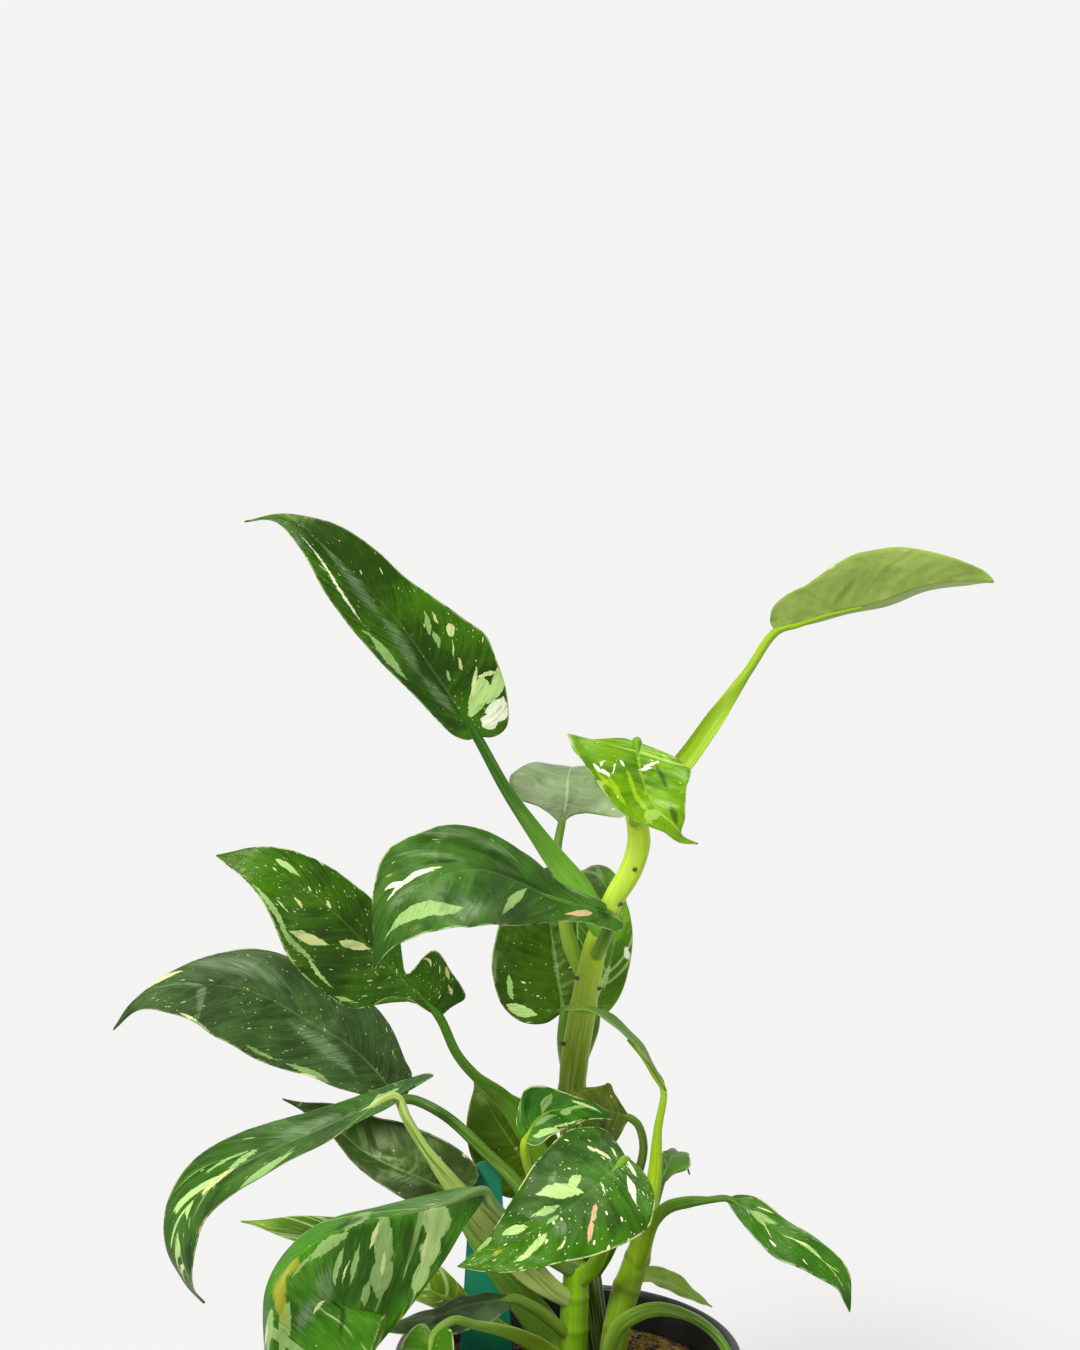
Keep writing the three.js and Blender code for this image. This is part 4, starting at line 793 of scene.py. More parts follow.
def on_leaf(leaf, markings):
    """Markings set on a leaf: their middle across and along it, and what turns a place beside the
    middle into shares of the half length and of the half width."""
    shares = np.linspace(0.02, 0.985, 150)
    sides = np.linspace(-0.99, 0.99, 121)
    grid = blade_points(leaf, shares, sides)
    seen = seen_at(grid)
    length = Curve(leaf["rib"]).length

    def find(pixel):
        """The place on the leaf that is nearest to the camera among those seen at a pixel."""
        gap = np.linalg.norm(seen - pixel, axis=-1)
        depth = np.where(gap < max(gap.min() + 1.2, 1.6), grid[..., 1], np.inf)
        row, column = np.unravel_index(np.argmin(depth), depth.shape)
        side = sides[column]
        return np.array([side * half_width(leaf, int(side > 0)), shares[row] * length])

    def step(middle, way):
        """How far a step of the photograph leads on the leaf, which may end or fold on one side."""
        ahead = find(middle + way) - find(middle)
        back = find(middle) - find(middle - way)
        short, long = sorted((ahead, back), key=np.linalg.norm)
        return short if np.linalg.norm(short) > 0.25 * np.linalg.norm(long) else long

    rows = []
    for across, down, far_across, far_down, half in markings:
        middle = np.array([across, down], float)
        way = np.array([far_across, far_down]) - middle
        reach = np.linalg.norm(way)
        long = step(middle, way)
        wide = step(middle, np.array([-way[1], way[0]]) / reach * half)
        area = long[0] * wide[1] - long[1] * wide[0]
        if abs(area) < 0.03 * reach * half:
            long = unit(long) * max(np.linalg.norm(long), 0.3 * reach)
            wide = np.array([-long[1], long[0]]) / np.linalg.norm(long) * 0.35 * half
            area = long[0] * wide[1] - long[1] * wide[0]
        rows.append((find(middle), (wide[1] / area, -wide[0] / area),
                     (-long[1] / area, long[0] / area)))
    return rows


def add_blade(shape, leaf):
    """A blade with an upper side, a lower side and a rounded rim between them."""
    shares = np.linspace(0.014, 0.994, BLADE_ROWS)
    steps = np.linspace(-1, 1, 2 * HALF_COLUMNS + 1)
    sides = np.sign(steps) * np.abs(steps) ** 1.2
    middle = blade_points(leaf, shares, sides)
    rows, columns = middle.shape[:2]
    upper = unit(np.cross(np.gradient(middle, axis=1), np.gradient(middle, axis=0)))
    share, side = np.meshgrid(shares, sides, indexing="ij")
    wide = np.where(side < 0, half_width(leaf, 0), half_width(leaf, 1))
    groove = np.exp(-(side * wide / 1.1) ** 2) * (1 - share)
    thick = 0.36 - 0.2 * np.abs(side) ** 3
    above = middle + upper * (thick - 0.45 * groove)[..., None]
    below = middle - upper * (thick + 0.75 * groove)[..., None]
    marks = np.stack([side, share, np.ones_like(side)], -1)
    top = shape.add(above, marks, grid_faces(rows, columns))
    under = shape.add(below, marks * [1, 1, 0], grid_faces(rows, columns, flip=True))
    around = [(0, column) for column in range(columns - 1)]
    around += [(row, columns - 1) for row in range(rows - 1)]
    around += [(rows - 1, column) for column in range(columns - 1, 0, -1)]
    around += [(row, 0) for row in range(rows - 1, 0, -1)]
    rim = []
    for row, column in around:
        inner = middle[min(max(row, 1), rows - 2), min(max(column, 1), columns - 2)]
        out = unit(middle[row, column] - inner)
        rim.append(middle[row, column] + 0.16 * out)
    edge = shape.add(rim, [[sides[column], shares[row], 0.5] for row, column in around])
    inside = [row * columns + column for row, column in around]
    for place, here in enumerate(inside):
        after = (place + 1) % len(inside)
        other = inside[after]
        shape.join([(top + here, edge + place, edge + after, top + other),
                    (edge + place, under + here, under + other, edge + after)])


def add_tube(shape, points, look, sides=16, step=1.6, swell=None, channel=True):
    """A tube through points of the form [x, y, z, radius, half width]. Where it is winged, it is a
    channel that is open towards the front, with thin edges."""
    curve = Curve(points)
    rings = max(6, int(curve.length / step))
    shares = np.linspace(0, 1, rings)
    centre = curve.at(shares)
    tangent = unit(curve.at(shares + 1e-3) - curve.at(shares - 1e-3))
    out = across_from(np.broadcast_to([0.0, -1.0, 0.0], tangent.shape), tangent)
    across = np.cross(tangent, out)
    size = mixed([[point[3], point[4] if len(point) > 4 else point[3]] for point in points], shares)
    radius, wide = size[:, :1], size[:, 1:]
    steps = np.concatenate([[0], np.cumsum(np.linalg.norm(np.diff(centre, axis=0), axis=1))])
    angle = np.linspace(0, 2 * np.pi, sides, endpoint=False)
    cos, sin = np.cos(angle)[None, :], np.sin(angle)[None, :]
    x = cos * wide
    y = sin * radius
    if channel:
        wing = np.clip((wide / radius - 1.1) / 0.6, 0, 1)
        y = np.where(y > 0, y * (1 - wing) - 0.45 * radius * sin ** 2 * wing, y)
        y += 0.35 * wing * radius * np.abs(cos) ** 3
    if swell is not None:
        grown = swell(steps, angle)
        x = x * grown
        y = y * grown
    ring = centre[:, None] + across[:, None] * x[..., None] + out[:, None] * y[..., None]
    marks = np.stack(np.broadcast_arrays(cos, steps[:, None], sin), -1)
    shape.add(np.vstack([ring.reshape(-1, 3), centre[[0, -1]]]),
              np.vstack([marks.reshape(-1, 3), [[0, 0, 0], [0, steps[-1], 0]]]),
              ring_faces(rings, sides) + pointed_ends(rings, sides), look)


def leaf_piece(name, leaf, materials):
    """A blade, and a petiole that runs on under it as a keel."""
    shape = Shape()
    add_blade(shape, leaf)
    rib = Curve(leaf["rib"])
    keel = []
    for share, radius in ((0.1, 1.0), (0.24, 0.8), (0.4, 0.55)):
        upper = across_from(mixed(leaf["face"], share), rib.tangent(share))
        keel.append([*(rib.along(share) - upper * 0.8), radius])
    add_tube(shape, leaf["petiole"] + keel, 1)
    return shape.build(name, materials)


# Materials

def colour(text):
    """The linear colour of a hex string."""
    parts = [int(text[place:place + 2], 16) / 255 for place in (1, 3, 5)]
    linear = [part / 12.92 if part <= 0.04045 else ((part + 0.055) / 1.055) ** 2.4
              for part in parts]
    return (*linear, 1.0)


class Shader:
    """A material that is put together one node at a time, and painted layer by layer."""

    def __init__(self, name):
        self.material = bpy.data.materials.new(name)
        self.material.use_nodes = True
        self.tree = self.material.node_tree
        self.tree.nodes.clear()
        self.shade = None

    def put(self, socket, value):
        if isinstance(value, bpy.types.NodeSocket):
            self.tree.links.new(value, socket)
        else:
            socket.default_value = colour(value) if isinstance(value, str) else value

    def node(self, kind, inputs, **settings):
        node = self.tree.nodes.new("ShaderNode" + kind)
        for name, value in settings.items():
            setattr(node, name, value)
        for name, value in inputs.items():
            self.put(node.inputs[name], value)
        return node

    def math(self, operation, *values):
        return self.node("Math", dict(enumerate(values)), operation=operation).outputs[0]

    def times(self, *values):
        return functools.reduce(functools.partial(self.math, "MULTIPLY"), values)

    def plus(self, *values):
        return functools.reduce(functools.partial(self.math, "ADD"), values)

    def scaled(self, value, factor, offset):
        return self.math("MULTIPLY_ADD", value, factor, offset)

    def rest(self, value):
        """What is left of 1."""
        return self.math("SUBTRACT", 1.0, value)

    @functools.cached_property
    def mark(self):
        """The three coordinates that the meshes carry."""
        node = self.node("Attribute", {}, attribute_name="mark", attribute_type="GEOMETRY")
        return self.node("SeparateXYZ", {0: node.outputs["Vector"]}).outputs

    @functools.cached_property
    def place(self):
        """The place on the object, in millimetres."""
        inputs = {0: self.node("TexCoord", {}).outputs["Object"], 3: 1 / MM}
        return self.node("VectorMath", inputs, operation="SCALE").outputs[0]

    def vector(self, x, y, z):
        return self.node("CombineXYZ", {0: x, 1: y, 2: z}).outputs[0]

    def noise(self, scale, detail=2.0, rough=0.5, distortion=0.0, at=None):
        inputs = {"Vector": self.place if at is None else at, "Scale": scale,
                  "Detail": detail, "Roughness": rough, "Distortion": distortion}
        return self.node("TexNoise", inputs).outputs["Fac"]

    def rise(self, value, low, high, top=1.0):
        """0 where the value is at low, top where it is at high, and smooth between."""
        inputs = {"Value": value, "From Min": low, "From Max": high, "To Min": 0.0, "To Max": top}
        node = self.node("MapRange", inputs, interpolation_type="SMOOTHSTEP")
        return node.outputs["Result"]

    def mix(self, share, first, second):
        inputs = {0: share, 6: first, 7: second}
        return self.node("Mix", inputs, data_type="RGBA").outputs[2]

    def paint(self, mask, tint):
        self.shade = self.mix(mask, self.shade, tint)

    def finish(self, rough, height, depth, **inputs):
        """The material, with a relief in which a height of 1 is so many millimetres deep."""
        bump = {"Height": height, "Distance": depth * MM, "Strength": 1.0}
        values = {"Base Color": self.shade, "Roughness": rough,
                  "Normal": self.node("Bump", bump).outputs[0]}
        values.update({name.replace("_", " "): value for name, value in inputs.items()})
        self.show(self.node("BsdfPrincipled", values))
        return self.material

    def show(self, surface):
        self.tree.links.new(surface.outputs[0], self.node("OutputMaterial", {}).inputs["Surface"])


class BladeSkin(Shader):
    """The skin of a blade. across is in millimetres from the midrib and along from the sinus, and
    vein is where along the midrib the side vein through a point starts."""

    def __init__(self, name, leaf, look):
        super().__init__(name)
        self.leaf = leaf
        self.look = look
        self.length = Curve(leaf["rib"]).length
        self.widths = [half_width(leaf, hand) for hand in (0, 1)]
        self.seed = self.length * 7.3 + self.widths[0] * 3.1
        side, self.share, self.face = self.mark
        left = self.math("LESS_THAN", side, 0.0)
        size = self.scaled(left, self.widths[0] - self.widths[1], self.widths[1])
        self.reach = self.math("ABSOLUTE", side)
        self.across = self.times(side, size)
        self.along = self.times(self.share, self.length)
        bend = self.times(self.reach, self.reach, VEIN_BEND * self.length)
        self.vein = self.math("SUBTRACT", self.along, bend)
        number = vein_number(leaf) / self.length
        self.wave = self.math("PINGPONG", self.times(self.vein, number), 0.5)
        self.fade = self.rest(self.rise(self.reach, 0.35, 0.98))
        self.drift = self.noise(0.05)
        self.streak = self.noise(0.42, 3, 0.6, 0.4, at=self.drawn_out(0.16, 0))
        self.hair = self.noise(1.5, 2, 0.65, at=self.drawn_out(0.1, 9))

    def drawn_out(self, squeeze, shift):
        """A place for a pattern that is drawn out along the side veins."""
        return self.vector(self.times(self.across, squeeze), self.vein, self.seed + shift)

    def green(self):
        """Two greens, with the side veins and fine lines along them."""
        light = self.rise(self.plus(self.drift, self.times(self.streak, 0.6)), 0.6, 1.0)
        self.shade = self.mix(light, *self.look["green"])
        line = self.rest(self.rise(self.wave, 0.02, 0.11))
        self.paint(self.times(line, self.fade, 0.3 * self.look["veins"]), "#5d7f38")
        self.paint(self.rise(self.hair, 0.48, 0.25, 0.5), self.look["green"][0])
        hairs = self.look["hairs"]
        pale = self.rise(self.hair, 0.62 - 0.1 * hairs, 0.78 - 0.1 * hairs, 0.05 + 0.4 * hairs)
        self.paint(pale, "#637f46")

    def flecks(self):
        for squeeze, scale, amount in ((0.4, 0.5, 0.8), (0.7, 0.95, 1.0)):
            amount *= self.look["flecks"]
            inputs = {"Vector": self.drawn_out(squeeze, scale), "Scale": scale, "Randomness": 1.0}
            cells = self.node("TexVoronoi", inputs, feature="F1")
            chance = self.node("SeparateColor", {0: cells.outputs["Color"]}).outputs
            crowd = self.rise(self.drift, 0.35, 0.65, amount)
            here = self.math("LESS_THAN", chance[0], self.scaled(crowd, 0.75, 0.2 * amount))
            size = self.scaled(chance[1], 0.15, 0.06)
            spot = self.math("LESS_THAN", cells.outputs["Distance"], size)
            self.paint(self.times(here, spot), self.mix(chance[2], "#85a55a", "#c3c99c"))

    def stripes(self):
        amount = self.look["stripes"]
        if amount:
            broad = self.noise(0.2, 3, 0.55, at=self.drawn_out(0.07, 21))
            edge = 0.66 - 0.26 * amount
            tone = self.mix(self.streak, COLOURS["pale"], COLOURS[self.look["stripe"]])
            self.paint(self.rise(broad, edge, edge + 0.02, 0.9), tone)

    def inside(self, here, rows):
        """How far a place lies inside any of these markings, which are pointed at both ends."""
        field = -1.0
        for middle, length, width in rows:
            beside = self.node("VectorMath", {0: here, 1: (*middle, 0)}, operation="SUBTRACT")
            far, out = (self.node("VectorMath", {0: beside.outputs[0], 1: (*way, 0)},
                                  operation="DOT_PRODUCT").outputs["Value"]
                        for way in (length, width))
            depth = self.math("SUBTRACT", self.rest(self.times(far, far)),
                              self.math("ABSOLUTE", out))
            field = self.math("MAXIMUM", field, depth)
        return self.scaled(self.math("SUBTRACT", self.streak, 0.5), 0.8, field)

    def markings(self, markings):
        """The markings by colour, with edges that are frayed along the side veins."""
        frayed = self.noise(0.75, 3, 0.7, at=self.drawn_out(0.12, 5))
        wander = self.noise(0.33, 3, 0.6)
        here = self.vector(self.scaled(self.math("SUBTRACT", frayed, 0.5), 2.0, self.across),
                           self.scaled(self.math("SUBTRACT", wander, 0.5), 1.8, self.along), 0.0)
        for kind in [kind for kind in COLOURS if kind in markings]:
            tint = COLOURS[kind]
            inside = self.inside(here, on_leaf(self.leaf, markings[kind]))
            if kind in SOFT:
                mask = self.rise(inside, -0.15, 0.7, 0.7)
                # A sheen marking is painted sheen, a grey highlight where light glances off the blade,
                # broken up by the fine lines along the veins
                if kind == "painted_sheen":
                    mask = self.times(mask, self.rise(self.hair, 0.3, 0.58))
                self.paint(mask, tint)
            else:
                mask = self.times(self.rise(inside, 0.0, 0.09), self.rise(self.hair, 0.86, 0.5))
                worn = self.rise(self.streak, 0.35, 0.7, 0.4)
                self.paint(mask, self.mix(worn, tint, COLOURS["pale"]))

    def rib_and_margin(self):
        width = self.scaled(self.share, -0.55, 0.95)
        away = self.math("DIVIDE", self.math("ABSOLUTE", self.across), width)
        rib = self.rest(self.rise(away, 0.55, 1.15))
        self.paint(self.times(rib, 0.1 + 0.7 * self.look["veins"]), self.look["rib"])
        thin = 0.7 / sum(self.widths)
        margin = self.rise(self.reach, 1.0 - 1.5 * thin, 1.0 - 0.5 * thin, self.look["margin"])
        broken = self.rise(self.noise(0.22, 3, 0.6), 0.38, 0.56)
        self.paint(self.times(margin, broken), "#a9b57c")

    def underside(self):
        under = self.mix(self.streak, self.look["under"], self.shade)
        under = self.mix(0.2, under, self.look["under"])
        self.shade = self.mix(self.rise(self.face, 0.4, 0.6), under, self.shade)


def blade_material(name, leaf, look, markings):
    skin = BladeSkin(name, leaf, look)
    skin.green()
    skin.flecks()
    skin.stripes()
    skin.markings(markings)
    skin.rib_and_margin()
    skin.underside()
    quilt = skin.times(skin.rise(skin.wave, 0.0, 0.5), skin.fade, 0.5)
    fine = skin.noise(1.1, 2, 0.6)
    height = skin.plus(quilt, skin.times(skin.hair, 0.4), skin.times(fine, 0.12))
    swell = skin.noise(0.055, 2, 0.4, 0.6)
    return skin.finish(skin.scaled(skin.streak, 0.2, look["rough"] - 0.06),
                       skin.scaled(swell, 14.0, height), 0.22,
                       Specular_IOR_Level=0.2, Specular_Tint=(0.85, 1.0, 0.5, 1))


def stalk_material(name, foot, top, stripes, length, rings=(), change=(0.1, 0.8)):
    """The skin of a petiole or a stem: striped lengthwise, and paler along thin edges."""
    shader = Shader(name)
    x, along, z = shader.mark
    shader.shade = shader.mix(shader.rise(along, change[0] * length, change[1] * length), foot, top)
    drawn_out = shader.vector(shader.times(x, 3.5), shader.times(along, 0.02),
                              shader.times(z, 3.5))
    lines = shader.noise(1.4, 3, 0.6, at=drawn_out)
    shader.paint(shader.rise(lines, 0.35, 0.6, 0.5), shader.mix(0.6, shader.shade, "#37611a"))
    pale = 0.6 - 0.2 * stripes
    shader.paint(shader.rise(lines, pale, pale + 0.06, 0.85 * stripes), "#a2b062")
    shader.paint(shader.rise(shader.math("ABSOLUTE", x), 0.95, 1.0, 0.4), "#a9b86a")
    fine = shader.noise(0.9, 3, 0.6)
    shader.paint(shader.rise(fine, 0.68, 0.8, 0.35), "#5a6a24")
    for ring, tint in rings:
        distance = shader.math("ABSOLUTE", shader.math("SUBTRACT", along, ring))
        distance = shader.plus(distance, shader.times(fine, 1.2))
        shader.paint(shader.times(shader.rest(shader.rise(distance, 0.4, 2.6)), 0.5), tint)
    height = shader.plus(shader.times(lines, 0.8), shader.times(fine, 0.25))
    return shader.finish(shader.scaled(lines, 0.15, 0.34), height, 0.3,
                         Specular_IOR_Level=0.2, Specular_Tint=(0.9, 1.0, 0.6, 1))


def pot_material():
    shader = Shader("pot_plastic")
    smear = shader.noise(0.06, 3, 0.6)
    shader.shade = shader.mix(smear, "#0d0e0f", "#1b1d1e")
    shader.paint(shader.rise(shader.noise(0.5, 4, 0.7), 0.6, 0.8, 0.18), "#5c554a")
    return shader.finish(shader.scaled(smear, 0.18, 0.28), shader.noise(1.6, 3, 0.6), 0.06,
                         Specular_IOR_Level=0.5)


def soil_material():
    shader = Shader("potting_mix")
    clods = shader.noise(0.22, 4, 0.65)
    crumbs = shader.noise(0.9, 4, 0.7)
    shader.shade = shader.mix(shader.rise(crumbs, 0.35, 0.7), "#120c07", "#3b2a1b")
    shader.paint(shader.rise(clods, 0.5, 0.75, 0.6), "#4a3520")
    moss = shader.times(shader.mark[2], shader.rise(clods, 0.38, 0.56))
    shader.paint(moss, shader.mix(shader.rise(crumbs, 0.4, 0.65), "#54400f", "#a5893c"))
    grit = shader.node("TexVoronoi", {"Vector": shader.place, "Scale": 0.45}, feature="F1")
    speck = shader.math("LESS_THAN", grit.outputs["Distance"], 0.16)
    shader.paint(shader.times(speck, 0.7), "#8a7a62")
    return shader.finish(0.92, shader.plus(clods, shader.times(crumbs, 0.7)), 1.6,
                         Specular_IOR_Level=0.25)


def chip_material():
    """Bark of a tint that each chip carries, with pale grains and mossy ones."""
    shader = Shader("bark_chips")
    tint, pale, mossy = shader.mark
    grain = shader.noise(1.3, 4, 0.7)
    shader.shade = shader.mix(tint, "#1d130b", "#6a4a2c")
    shader.paint(shader.rise(pale, 0.9, 0.92), "#d9d4c6")
    shader.paint(shader.rise(mossy, 0.5, 0.52, 0.9), "#8f7a34")
    shader.paint(shader.rise(grain, 0.4, 0.7, 0.5), "#160e08")
    return shader.finish(0.9, grain, 0.8, Specular_IOR_Level=0.25)


def label_material():
    shader = Shader("label_plastic")
    cloud = shader.noise(0.07, 3, 0.55)
    shader.shade = shader.mix(cloud, "#046248", "#07805c")
    shader.paint(shader.rise(shader.noise(0.25, 4, 0.7), 0.62, 0.8, 0.25), "#2c4a34")
    return shader.finish(shader.scaled(cloud, 0.2, 0.36), shader.noise(2.2, 2, 0.6), 0.05,
                         Specular_IOR_Level=0.4)


def nub_material():
    shader = Shader("root_nub")
    grain = shader.noise(1.5, 4, 0.7)
    shader.shade = shader.mix(shader.rise(grain, 0.35, 0.7), "#2c1c0e", "#7a5a34")
    return shader.finish(0.8, grain, 0.4)


def floor_material():
    """A pale floor that fades into the backdrop far from the object."""
    shader = Shader("pale_floor")
    away = shader.node("VectorMath", {0: shader.place}, operation="LENGTH").outputs["Value"]
    near = shader.node("BsdfDiffuse", {"Color": (0.525, 0.52, 0.515, 1)})
    far = shader.node("Emission", {"Color": BACKDROP, "Strength": 1.0})
    inputs = {0: shader.rise(away, 140, 500), 1: near.outputs[0], 2: far.outputs[0]}
    shader.show(shader.node("MixShader", inputs))
    return shader.material


# Pot, soil and label

def lathe(profile, sides):
    """A body turned from a profile that starts and ends on the axis."""
    angle = np.linspace(0, 2 * np.pi, sides, endpoint=False)
    inner = np.array(profile[1:-1], float)
    ring = np.stack([inner[:, :1] * np.cos(angle), inner[:, :1] * np.sin(angle),
                     np.repeat(inner[:, 1:], sides, axis=1)], -1)
    ends = [[0, 0, profile[0][1]], [0, 0, profile[-1][1]]]
    shape = Shape()
    shape.add(np.vstack([ring.reshape(-1, 3), ends]), [0, 0, 0],
              ring_faces(len(inner), sides) + pointed_ends(len(inner), sides))
    return shape


def inner_radius(height):
    share = (height - FLOOR) / (POT_HEIGHT - RIM_SKIRT - FLOOR)
    return BASE_RADIUS + (RIM_INNER_RADIUS + 0.4 - BASE_RADIUS) * share - WALL


def rounded(profile, radius=0.5):
    """A profile whose corners are cut twice, which rounds them."""
    for _ in range(2):
        points = [profile[0]]
        for before, here, after in zip(profile, profile[1:], profile[2:]):
            for other in (before, after):
                share = min(0.3, radius / math.dist(here, other))
                points.append([here[axis] + (other[axis] - here[axis]) * share
                               for axis in (0, 1)])
        points.append(profile[-1])
        profile = points
        radius = radius / 2
    return profile


def drills():
    """The bodies that the drain holes are cut with."""
    made = bmesh.new()
    for hole in range(DRAIN_HOLES):
        angle = 2 * math.pi * (hole + 0.5) / DRAIN_HOLES
        drill = bmesh.ops.create_cone(
            made, cap_ends=True, segments=28, radius1=DRAIN_RADIUS * MM,
            radius2=DRAIN_RADIUS * MM, depth=4 * FLOOR * MM)
        place = Vector((math.cos(angle), math.sin(angle), 0)) * DRAIN_RING * MM
        bmesh.ops.translate(made, verts=drill["verts"], vec=place)
    mesh = bpy.data.meshes.new("drills")
    made.to_mesh(mesh)
    made.free()
    return add_object("drills", mesh)


def pot_piece():
    skirt = POT_HEIGHT - RIM_SKIRT
    profile = rounded([
        [0, 0], [BASE_RADIUS - 2, 0], [BASE_RADIUS, 2], [RIM_INNER_RADIUS + 0.4, skirt],
        [RIM_RADIUS - 0.8, skirt], [RIM_RADIUS, skirt + 0.8], [RIM_RADIUS, POT_HEIGHT - 1.8],
        [RIM_RADIUS - 0.9, POT_HEIGHT - 0.3], [RIM_RADIUS - 2, POT_HEIGHT],
        [RIM_INNER_RADIUS + 0.6, POT_HEIGHT - 0.5], [RIM_INNER_RADIUS, POT_HEIGHT - 1.8],
        [inner_radius(skirt), skirt], [inner_radius(FLOOR), FLOOR], [0, FLOOR],
    ])
    piece = lathe(profile, 144).build("nursery_pot", [pot_material()])
    cut = piece.modifiers.new("holes", "BOOLEAN")
    cut.operation = "DIFFERENCE"
    cut.object = drills()
    graph = bpy.context.evaluated_depsgraph_get()
    piece.data = bpy.data.meshes.new_from_object(piece.evaluated_get(graph))
    bpy.data.objects.remove(cut.object)
    piece.modifiers.clear()
    piece.data.set_sharp_from_angle(angle=math.radians(50))
    return piece


def moss_at(x, y):
    across = (x - MOSS_PLACE[0]) / MOSS_SPREAD[0]
    back = (y - MOSS_PLACE[1]) / MOSS_SPREAD[1]
    return np.exp(-across ** 2 - back ** 2)


def soil_height(x, y):
    share = np.hypot(x, y) / inner_radius(SOIL_TOP)
    bumps = np.sin(x * 0.31 + 1.3) * np.sin(y * 0.27 + 0.4) + np.sin(x * 0.13 - y * 0.17)
    height = SOIL_TOP + SOIL_CROWN * (1 - share ** 2)
    return height + SOIL_ROUGHNESS * bumps * (1 - share ** 4)


def crumbs(x, y):
    """Small lumps of the soil's surface, from waves that cross each other."""
    total = np.zeros_like(x, float)
    for step in range(1, 6):
        turn = 1.9 * step
        wave = np.sin(0.55 * step * (x * math.cos(turn) + y * math.sin(turn)) + 3.1 * step)
        wave *= np.sin(0.6 * step * (y * math.cos(turn) - x * math.sin(turn)) + 1.7 * step)
        total += wave / step ** 0.8
    return 0.55 * total


def soil_piece():
    edge = inner_radius(SOIL_TOP) - SOIL_PLAY
    rings, sides = 70, 180
    angle = np.linspace(0, 2 * np.pi, sides, endpoint=False)
    walls = [inner_radius(FLOOR) - 0.7, edge]
    radius = np.concatenate([walls, edge * np.linspace(1, 0.01, rings)])[:, None]
    x = radius * np.cos(angle)
    y = radius * np.sin(angle)
    moss = np.minimum(1.5 * moss_at(x, y), 1)
    z = soil_height(x, y) + crumbs(x, y) * (1 - (radius / edge) ** 12) + 0.5 * moss
    z[0] = FLOOR + 0.4
    z[1] = SOIL_TOP - 1
    moss[:2] = 0
    shape = Shape()
    shape.add(np.stack([x, y, z], -1), np.stack([moss] * 3, -1),
              ring_faces(rings + 2, sides) + flat_ends(rings + 2, sides))
    return shape.build("potting_soil", [soil_material()])


def chip_piece():
    """Bark, grit and a few grains of perlite that lie on the soil."""
    draw = np.random.default_rng(7)
    ball = bmesh.new()
    bmesh.ops.create_icosphere(ball, subdivisions=1, radius=1.0)
    points = np.array([vertex.co for vertex in ball.verts])
    faces = [[vertex.index for vertex in face.verts] for face in ball.faces]
    ball.free()
    shape = Shape()
    edge = inner_radius(SOIL_TOP) - 4
    for _ in range(CHIPS):
        away = edge * math.sqrt(draw.random())
        turn = 2 * math.pi * draw.random()
        x, y = away * math.cos(turn), away * math.sin(turn)
        long = draw.uniform(0.5, 1.5) + 1.4 * draw.random() ** 4
        size = np.array([long, long * draw.uniform(0.4, 0.9), long * draw.uniform(0.25, 0.6)])
        lump = points * size * draw.uniform(0.75, 1.25, (len(points), 1))
        spin, tilt = draw.uniform(0, 2 * math.pi), draw.uniform(-0.5, 0.5)
        turned = np.array(Matrix.Rotation(spin, 3, "Z") @ Matrix.Rotation(tilt, 3, "X"))
        place = np.array([x, y, soil_height(x, y) + crumbs(x, y) + 0.1])
        pale = float(draw.random() > 0.965)
        tint = [draw.random() ** 1.6, pale, float(draw.random() < moss_at(x, y))]
        shape.add(lump @ turned.T + place, tint, faces)
    return shape.build("bark_chips", [chip_material()])


def label_piece():
    """A flat label with a round top and bevelled edges, which narrows towards its foot."""
    half = LABEL_THICK / 2
    outline = [[-6, LABEL_FOOT], [6, LABEL_FOOT], [11.5, LABEL_FOOT + 22]]
    for step in range(13):
        angle = math.pi * step / 12
        outline.append([LABEL_ROUND * math.cos(angle),
                        LABEL_SHOULDER + LABEL_CROWN * math.sin(angle) ** 0.8])
    outline = np.array([*outline, [-11, LABEL_FOOT + 22]])
    middle = outline.mean(axis=0)
    layers = []
    for inset, depth in ((0.3, -half), (0.0, 0.25 - half), (0.0, half - 0.25), (0.3, half)):
        points = middle + (outline - middle) * (1 - inset / 12)
        layers.append([[LABEL_PLACE[0] + x, LABEL_PLACE[1] + depth, z] for x, z in points])
    shape = Shape()
    shape.add(layers, [0, 0, 0], ring_faces(4, len(outline)) + flat_ends(4, len(outline)))
    piece = shape.build("plant_label", [label_material()])
    piece.data.set_sharp_from_angle(angle=math.radians(30))
    return piece


# Stems

def stem_swell(rings, ribs=0.03):
    """How a stem's radius changes: lengthwise ribs, and a thicker joint at each ring."""
    def swell(steps, angle):
        grown = 1 + ribs * np.cos(3 * angle[None, :] + 0.02 * steps[:, None])
        grown = grown + 0.5 * ribs * np.cos(8 * angle[None, :] - 0.03 * steps[:, None])
        for ring in rings:
            grown += 0.05 * np.exp(-((steps - ring) / 1.6) ** 2)[:, None]
            grown -= 0.03 * np.exp(-((steps - ring - 4) / 2.5) ** 2)[:, None]
        return grown
    return swell


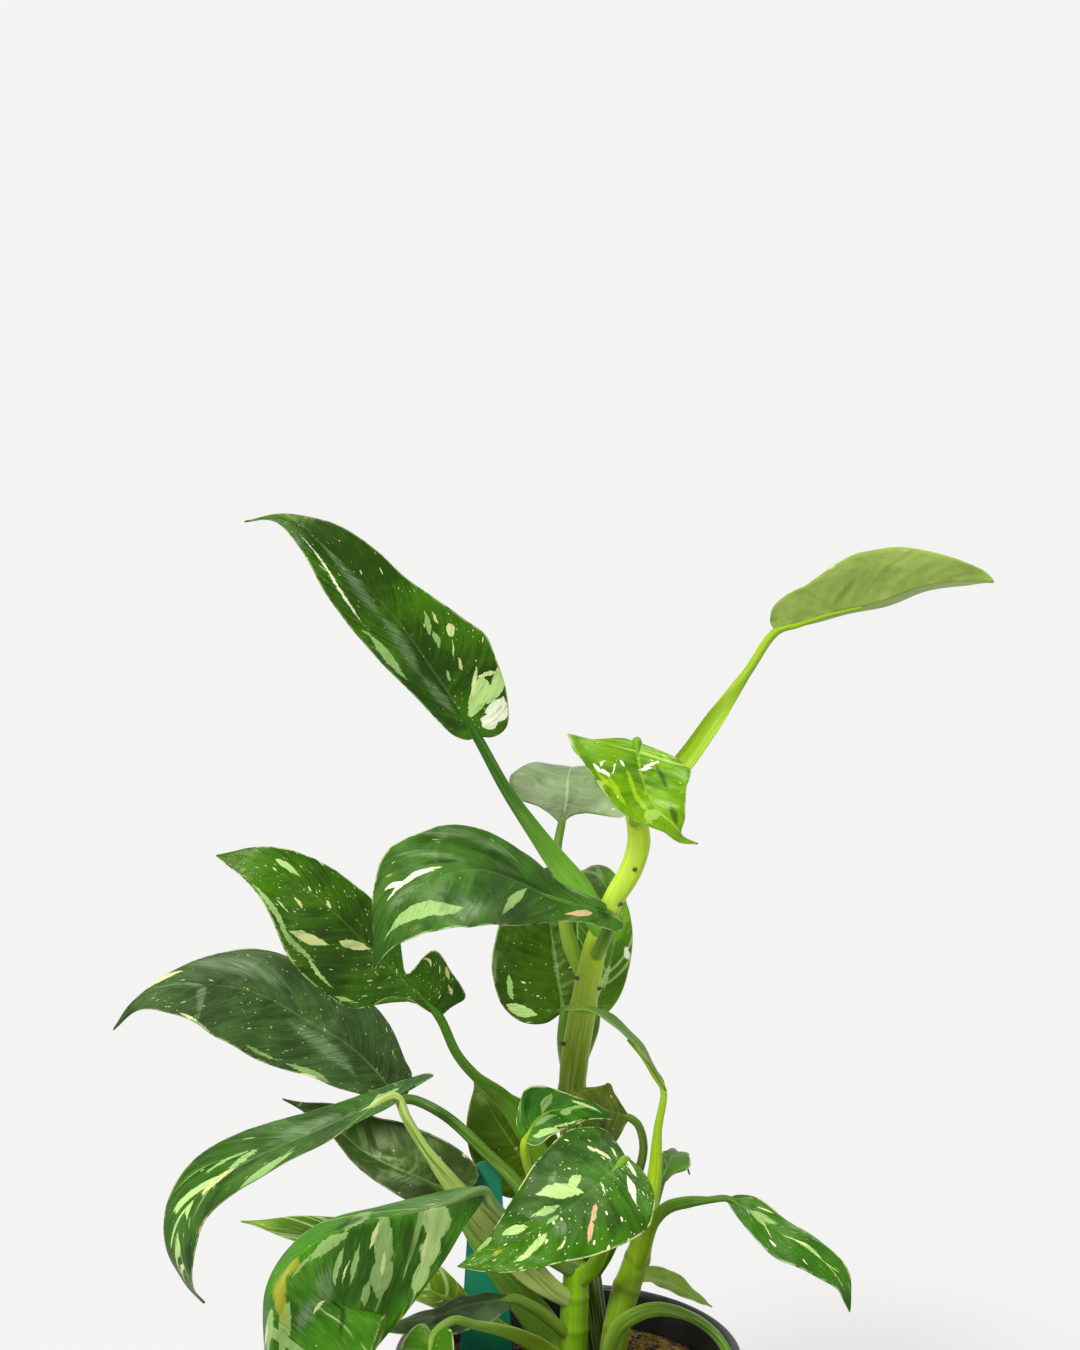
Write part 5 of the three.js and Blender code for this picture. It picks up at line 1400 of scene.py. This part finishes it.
def stem_piece(name, foot, top, stripes, rings, nubs=(), scar="#4f5416", change=(0.1, 0.8)):
    """A stem with its joints at rings, in mm along it, and root nubs of the form (height, way
    across, way to the back, length)."""
    shape = Shape()
    points = STEMS[name]
    add_tube(shape, points, 0, sides=28, step=1.0, swell=stem_swell(rings), channel=False)
    curve = Curve(points)
    table = curve.at(curve.shares)
    for height, across, back, long in nubs:
        centre = table[np.argmin(np.abs(table[:, 2] - height))]
        radius = np.interp(height, [point[2] for point in points], [point[3] for point in points])
        out = unit(np.array([across, back, 0.15]))
        nub = [[*(centre + out * (radius - 0.8)), 0.9], [*(centre + out * (radius + 0.5)), 0.8],
               [*(centre + out * (radius + long) + [0, 0, 0.3]), 0.45]]
        add_tube(shape, nub, 1, sides=8, step=0.4, channel=False)
    tints = ["#4f5416"] * (len(rings) - 1) + [scar]
    skin = stalk_material(name + "_skin", foot, top, stripes, curve.length, zip(rings, tints),
                          change)
    return shape.build(name + "_fine", [skin, nub_material()])


# The object

def place(piece, slot, *nodes):
    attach(piece, "root")
    if nodes:
        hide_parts(*nodes)


place(pot_piece(), "pot", "pot")
place(soil_piece(), "soil", "soil")
place(chip_piece(), "soil")
place(label_piece(), "label", "label")
place(stem_piece("stem_tall", "#203602", "#a4c222", 0.45, [118, 150, 183, 222],
                 [(228, -1, -0.4, 2.2), (254, -1, -0.6, 1.6), (250, 1, -0.7, 1.8),
                  (296, 0.3, -1, 1.6), (283, 0.8, -0.8, 1.8)], "#6a3216", (0.4, 0.9)),
      "stem", "stem_tall")
place(stem_piece("stem_front", "#527408", "#6c980a", 0.15, [52, 68, 80]), "stem", "stem_front")
place(stem_piece("stem_right", "#3f5a06", "#6c8a12", 0.12, [44, 62, 78, 90]), "stem",
      "stem_right")
for name, leaf in LEAVES.items():
    look = {**PLAIN, **LOOKS.get(name, {})}
    materials = [
        blade_material(name + "_blade", leaf, look, MARKINGS.get(name, {})),
        stalk_material(name + "_stalk", *look["stalk"], Curve(leaf["petiole"]).length),
    ]
    place(leaf_piece(name + "_fine", leaf, materials), SLOTS.get(name, "leaf"), name)


# Floor, light and camera

disc = bmesh.new()
bmesh.ops.create_circle(disc, cap_ends=True, segments=96, radius=30)
floor_mesh = bpy.data.meshes.new("floor")
disc.to_mesh(floor_mesh)
disc.free()
floor_mesh.materials.append(floor_material())
add_object("floor", floor_mesh)

world = bpy.data.worlds.new("studio")
world.use_nodes = True
sky = world.node_tree
way = sky.nodes.new("ShaderNodeTexCoord")
parts = sky.nodes.new("ShaderNodeSeparateXYZ")
ramp = sky.nodes.new("ShaderNodeValToRGB")
for element, position, shade in zip(ramp.color_ramp.elements, (0.42, 0.8), (BACKDROP, OVERHEAD)):
    element.position = position
    element.color = shade
sky.links.new(way.outputs["Generated"], parts.inputs[0])
sky.links.new(parts.outputs["Z"], ramp.inputs[0])
sky.links.new(ramp.outputs[0], sky.nodes["Background"].inputs["Color"])
sky.nodes["Background"].inputs["Strength"].default_value = 1.0
bpy.context.scene.world = world


def soft_light(name, place, size, power, tint=(1, 1, 1)):
    lamp = bpy.data.lights.new(name, "AREA")
    lamp.shape = "DISK"
    lamp.size = size
    lamp.energy = power
    lamp.color = tint
    light = add_object(name, lamp)
    light.location = place
    aim = Vector(AIM) - Vector(place)
    light.rotation_euler = aim.to_track_quat("-Z", "Y").to_euler()


soft_light("key", (-0.8, -1.1, 1.5), 0.6, 50, (1, 0.985, 0.95))
soft_light("fill", (1.3, -0.9, 0.6), 1.0, 5)
soft_light("top", (0.1, 0.4, 1.7), 0.8, 16)

camera_data = bpy.data.cameras.new("camera")
camera_data.sensor_fit = "VERTICAL"
camera_data.sensor_height = 36
camera_data.lens = 36 * FOCAL / PHOTO_HIGH
camera_data.clip_start = 0.01
camera = add_object("camera", camera_data)
camera.location = Vector(CAMERA) * MM
camera.rotation_euler = (math.radians(90), 0, 0)
bpy.context.scene.camera = camera
bpy.context.scene.view_settings.view_transform = "Standard"
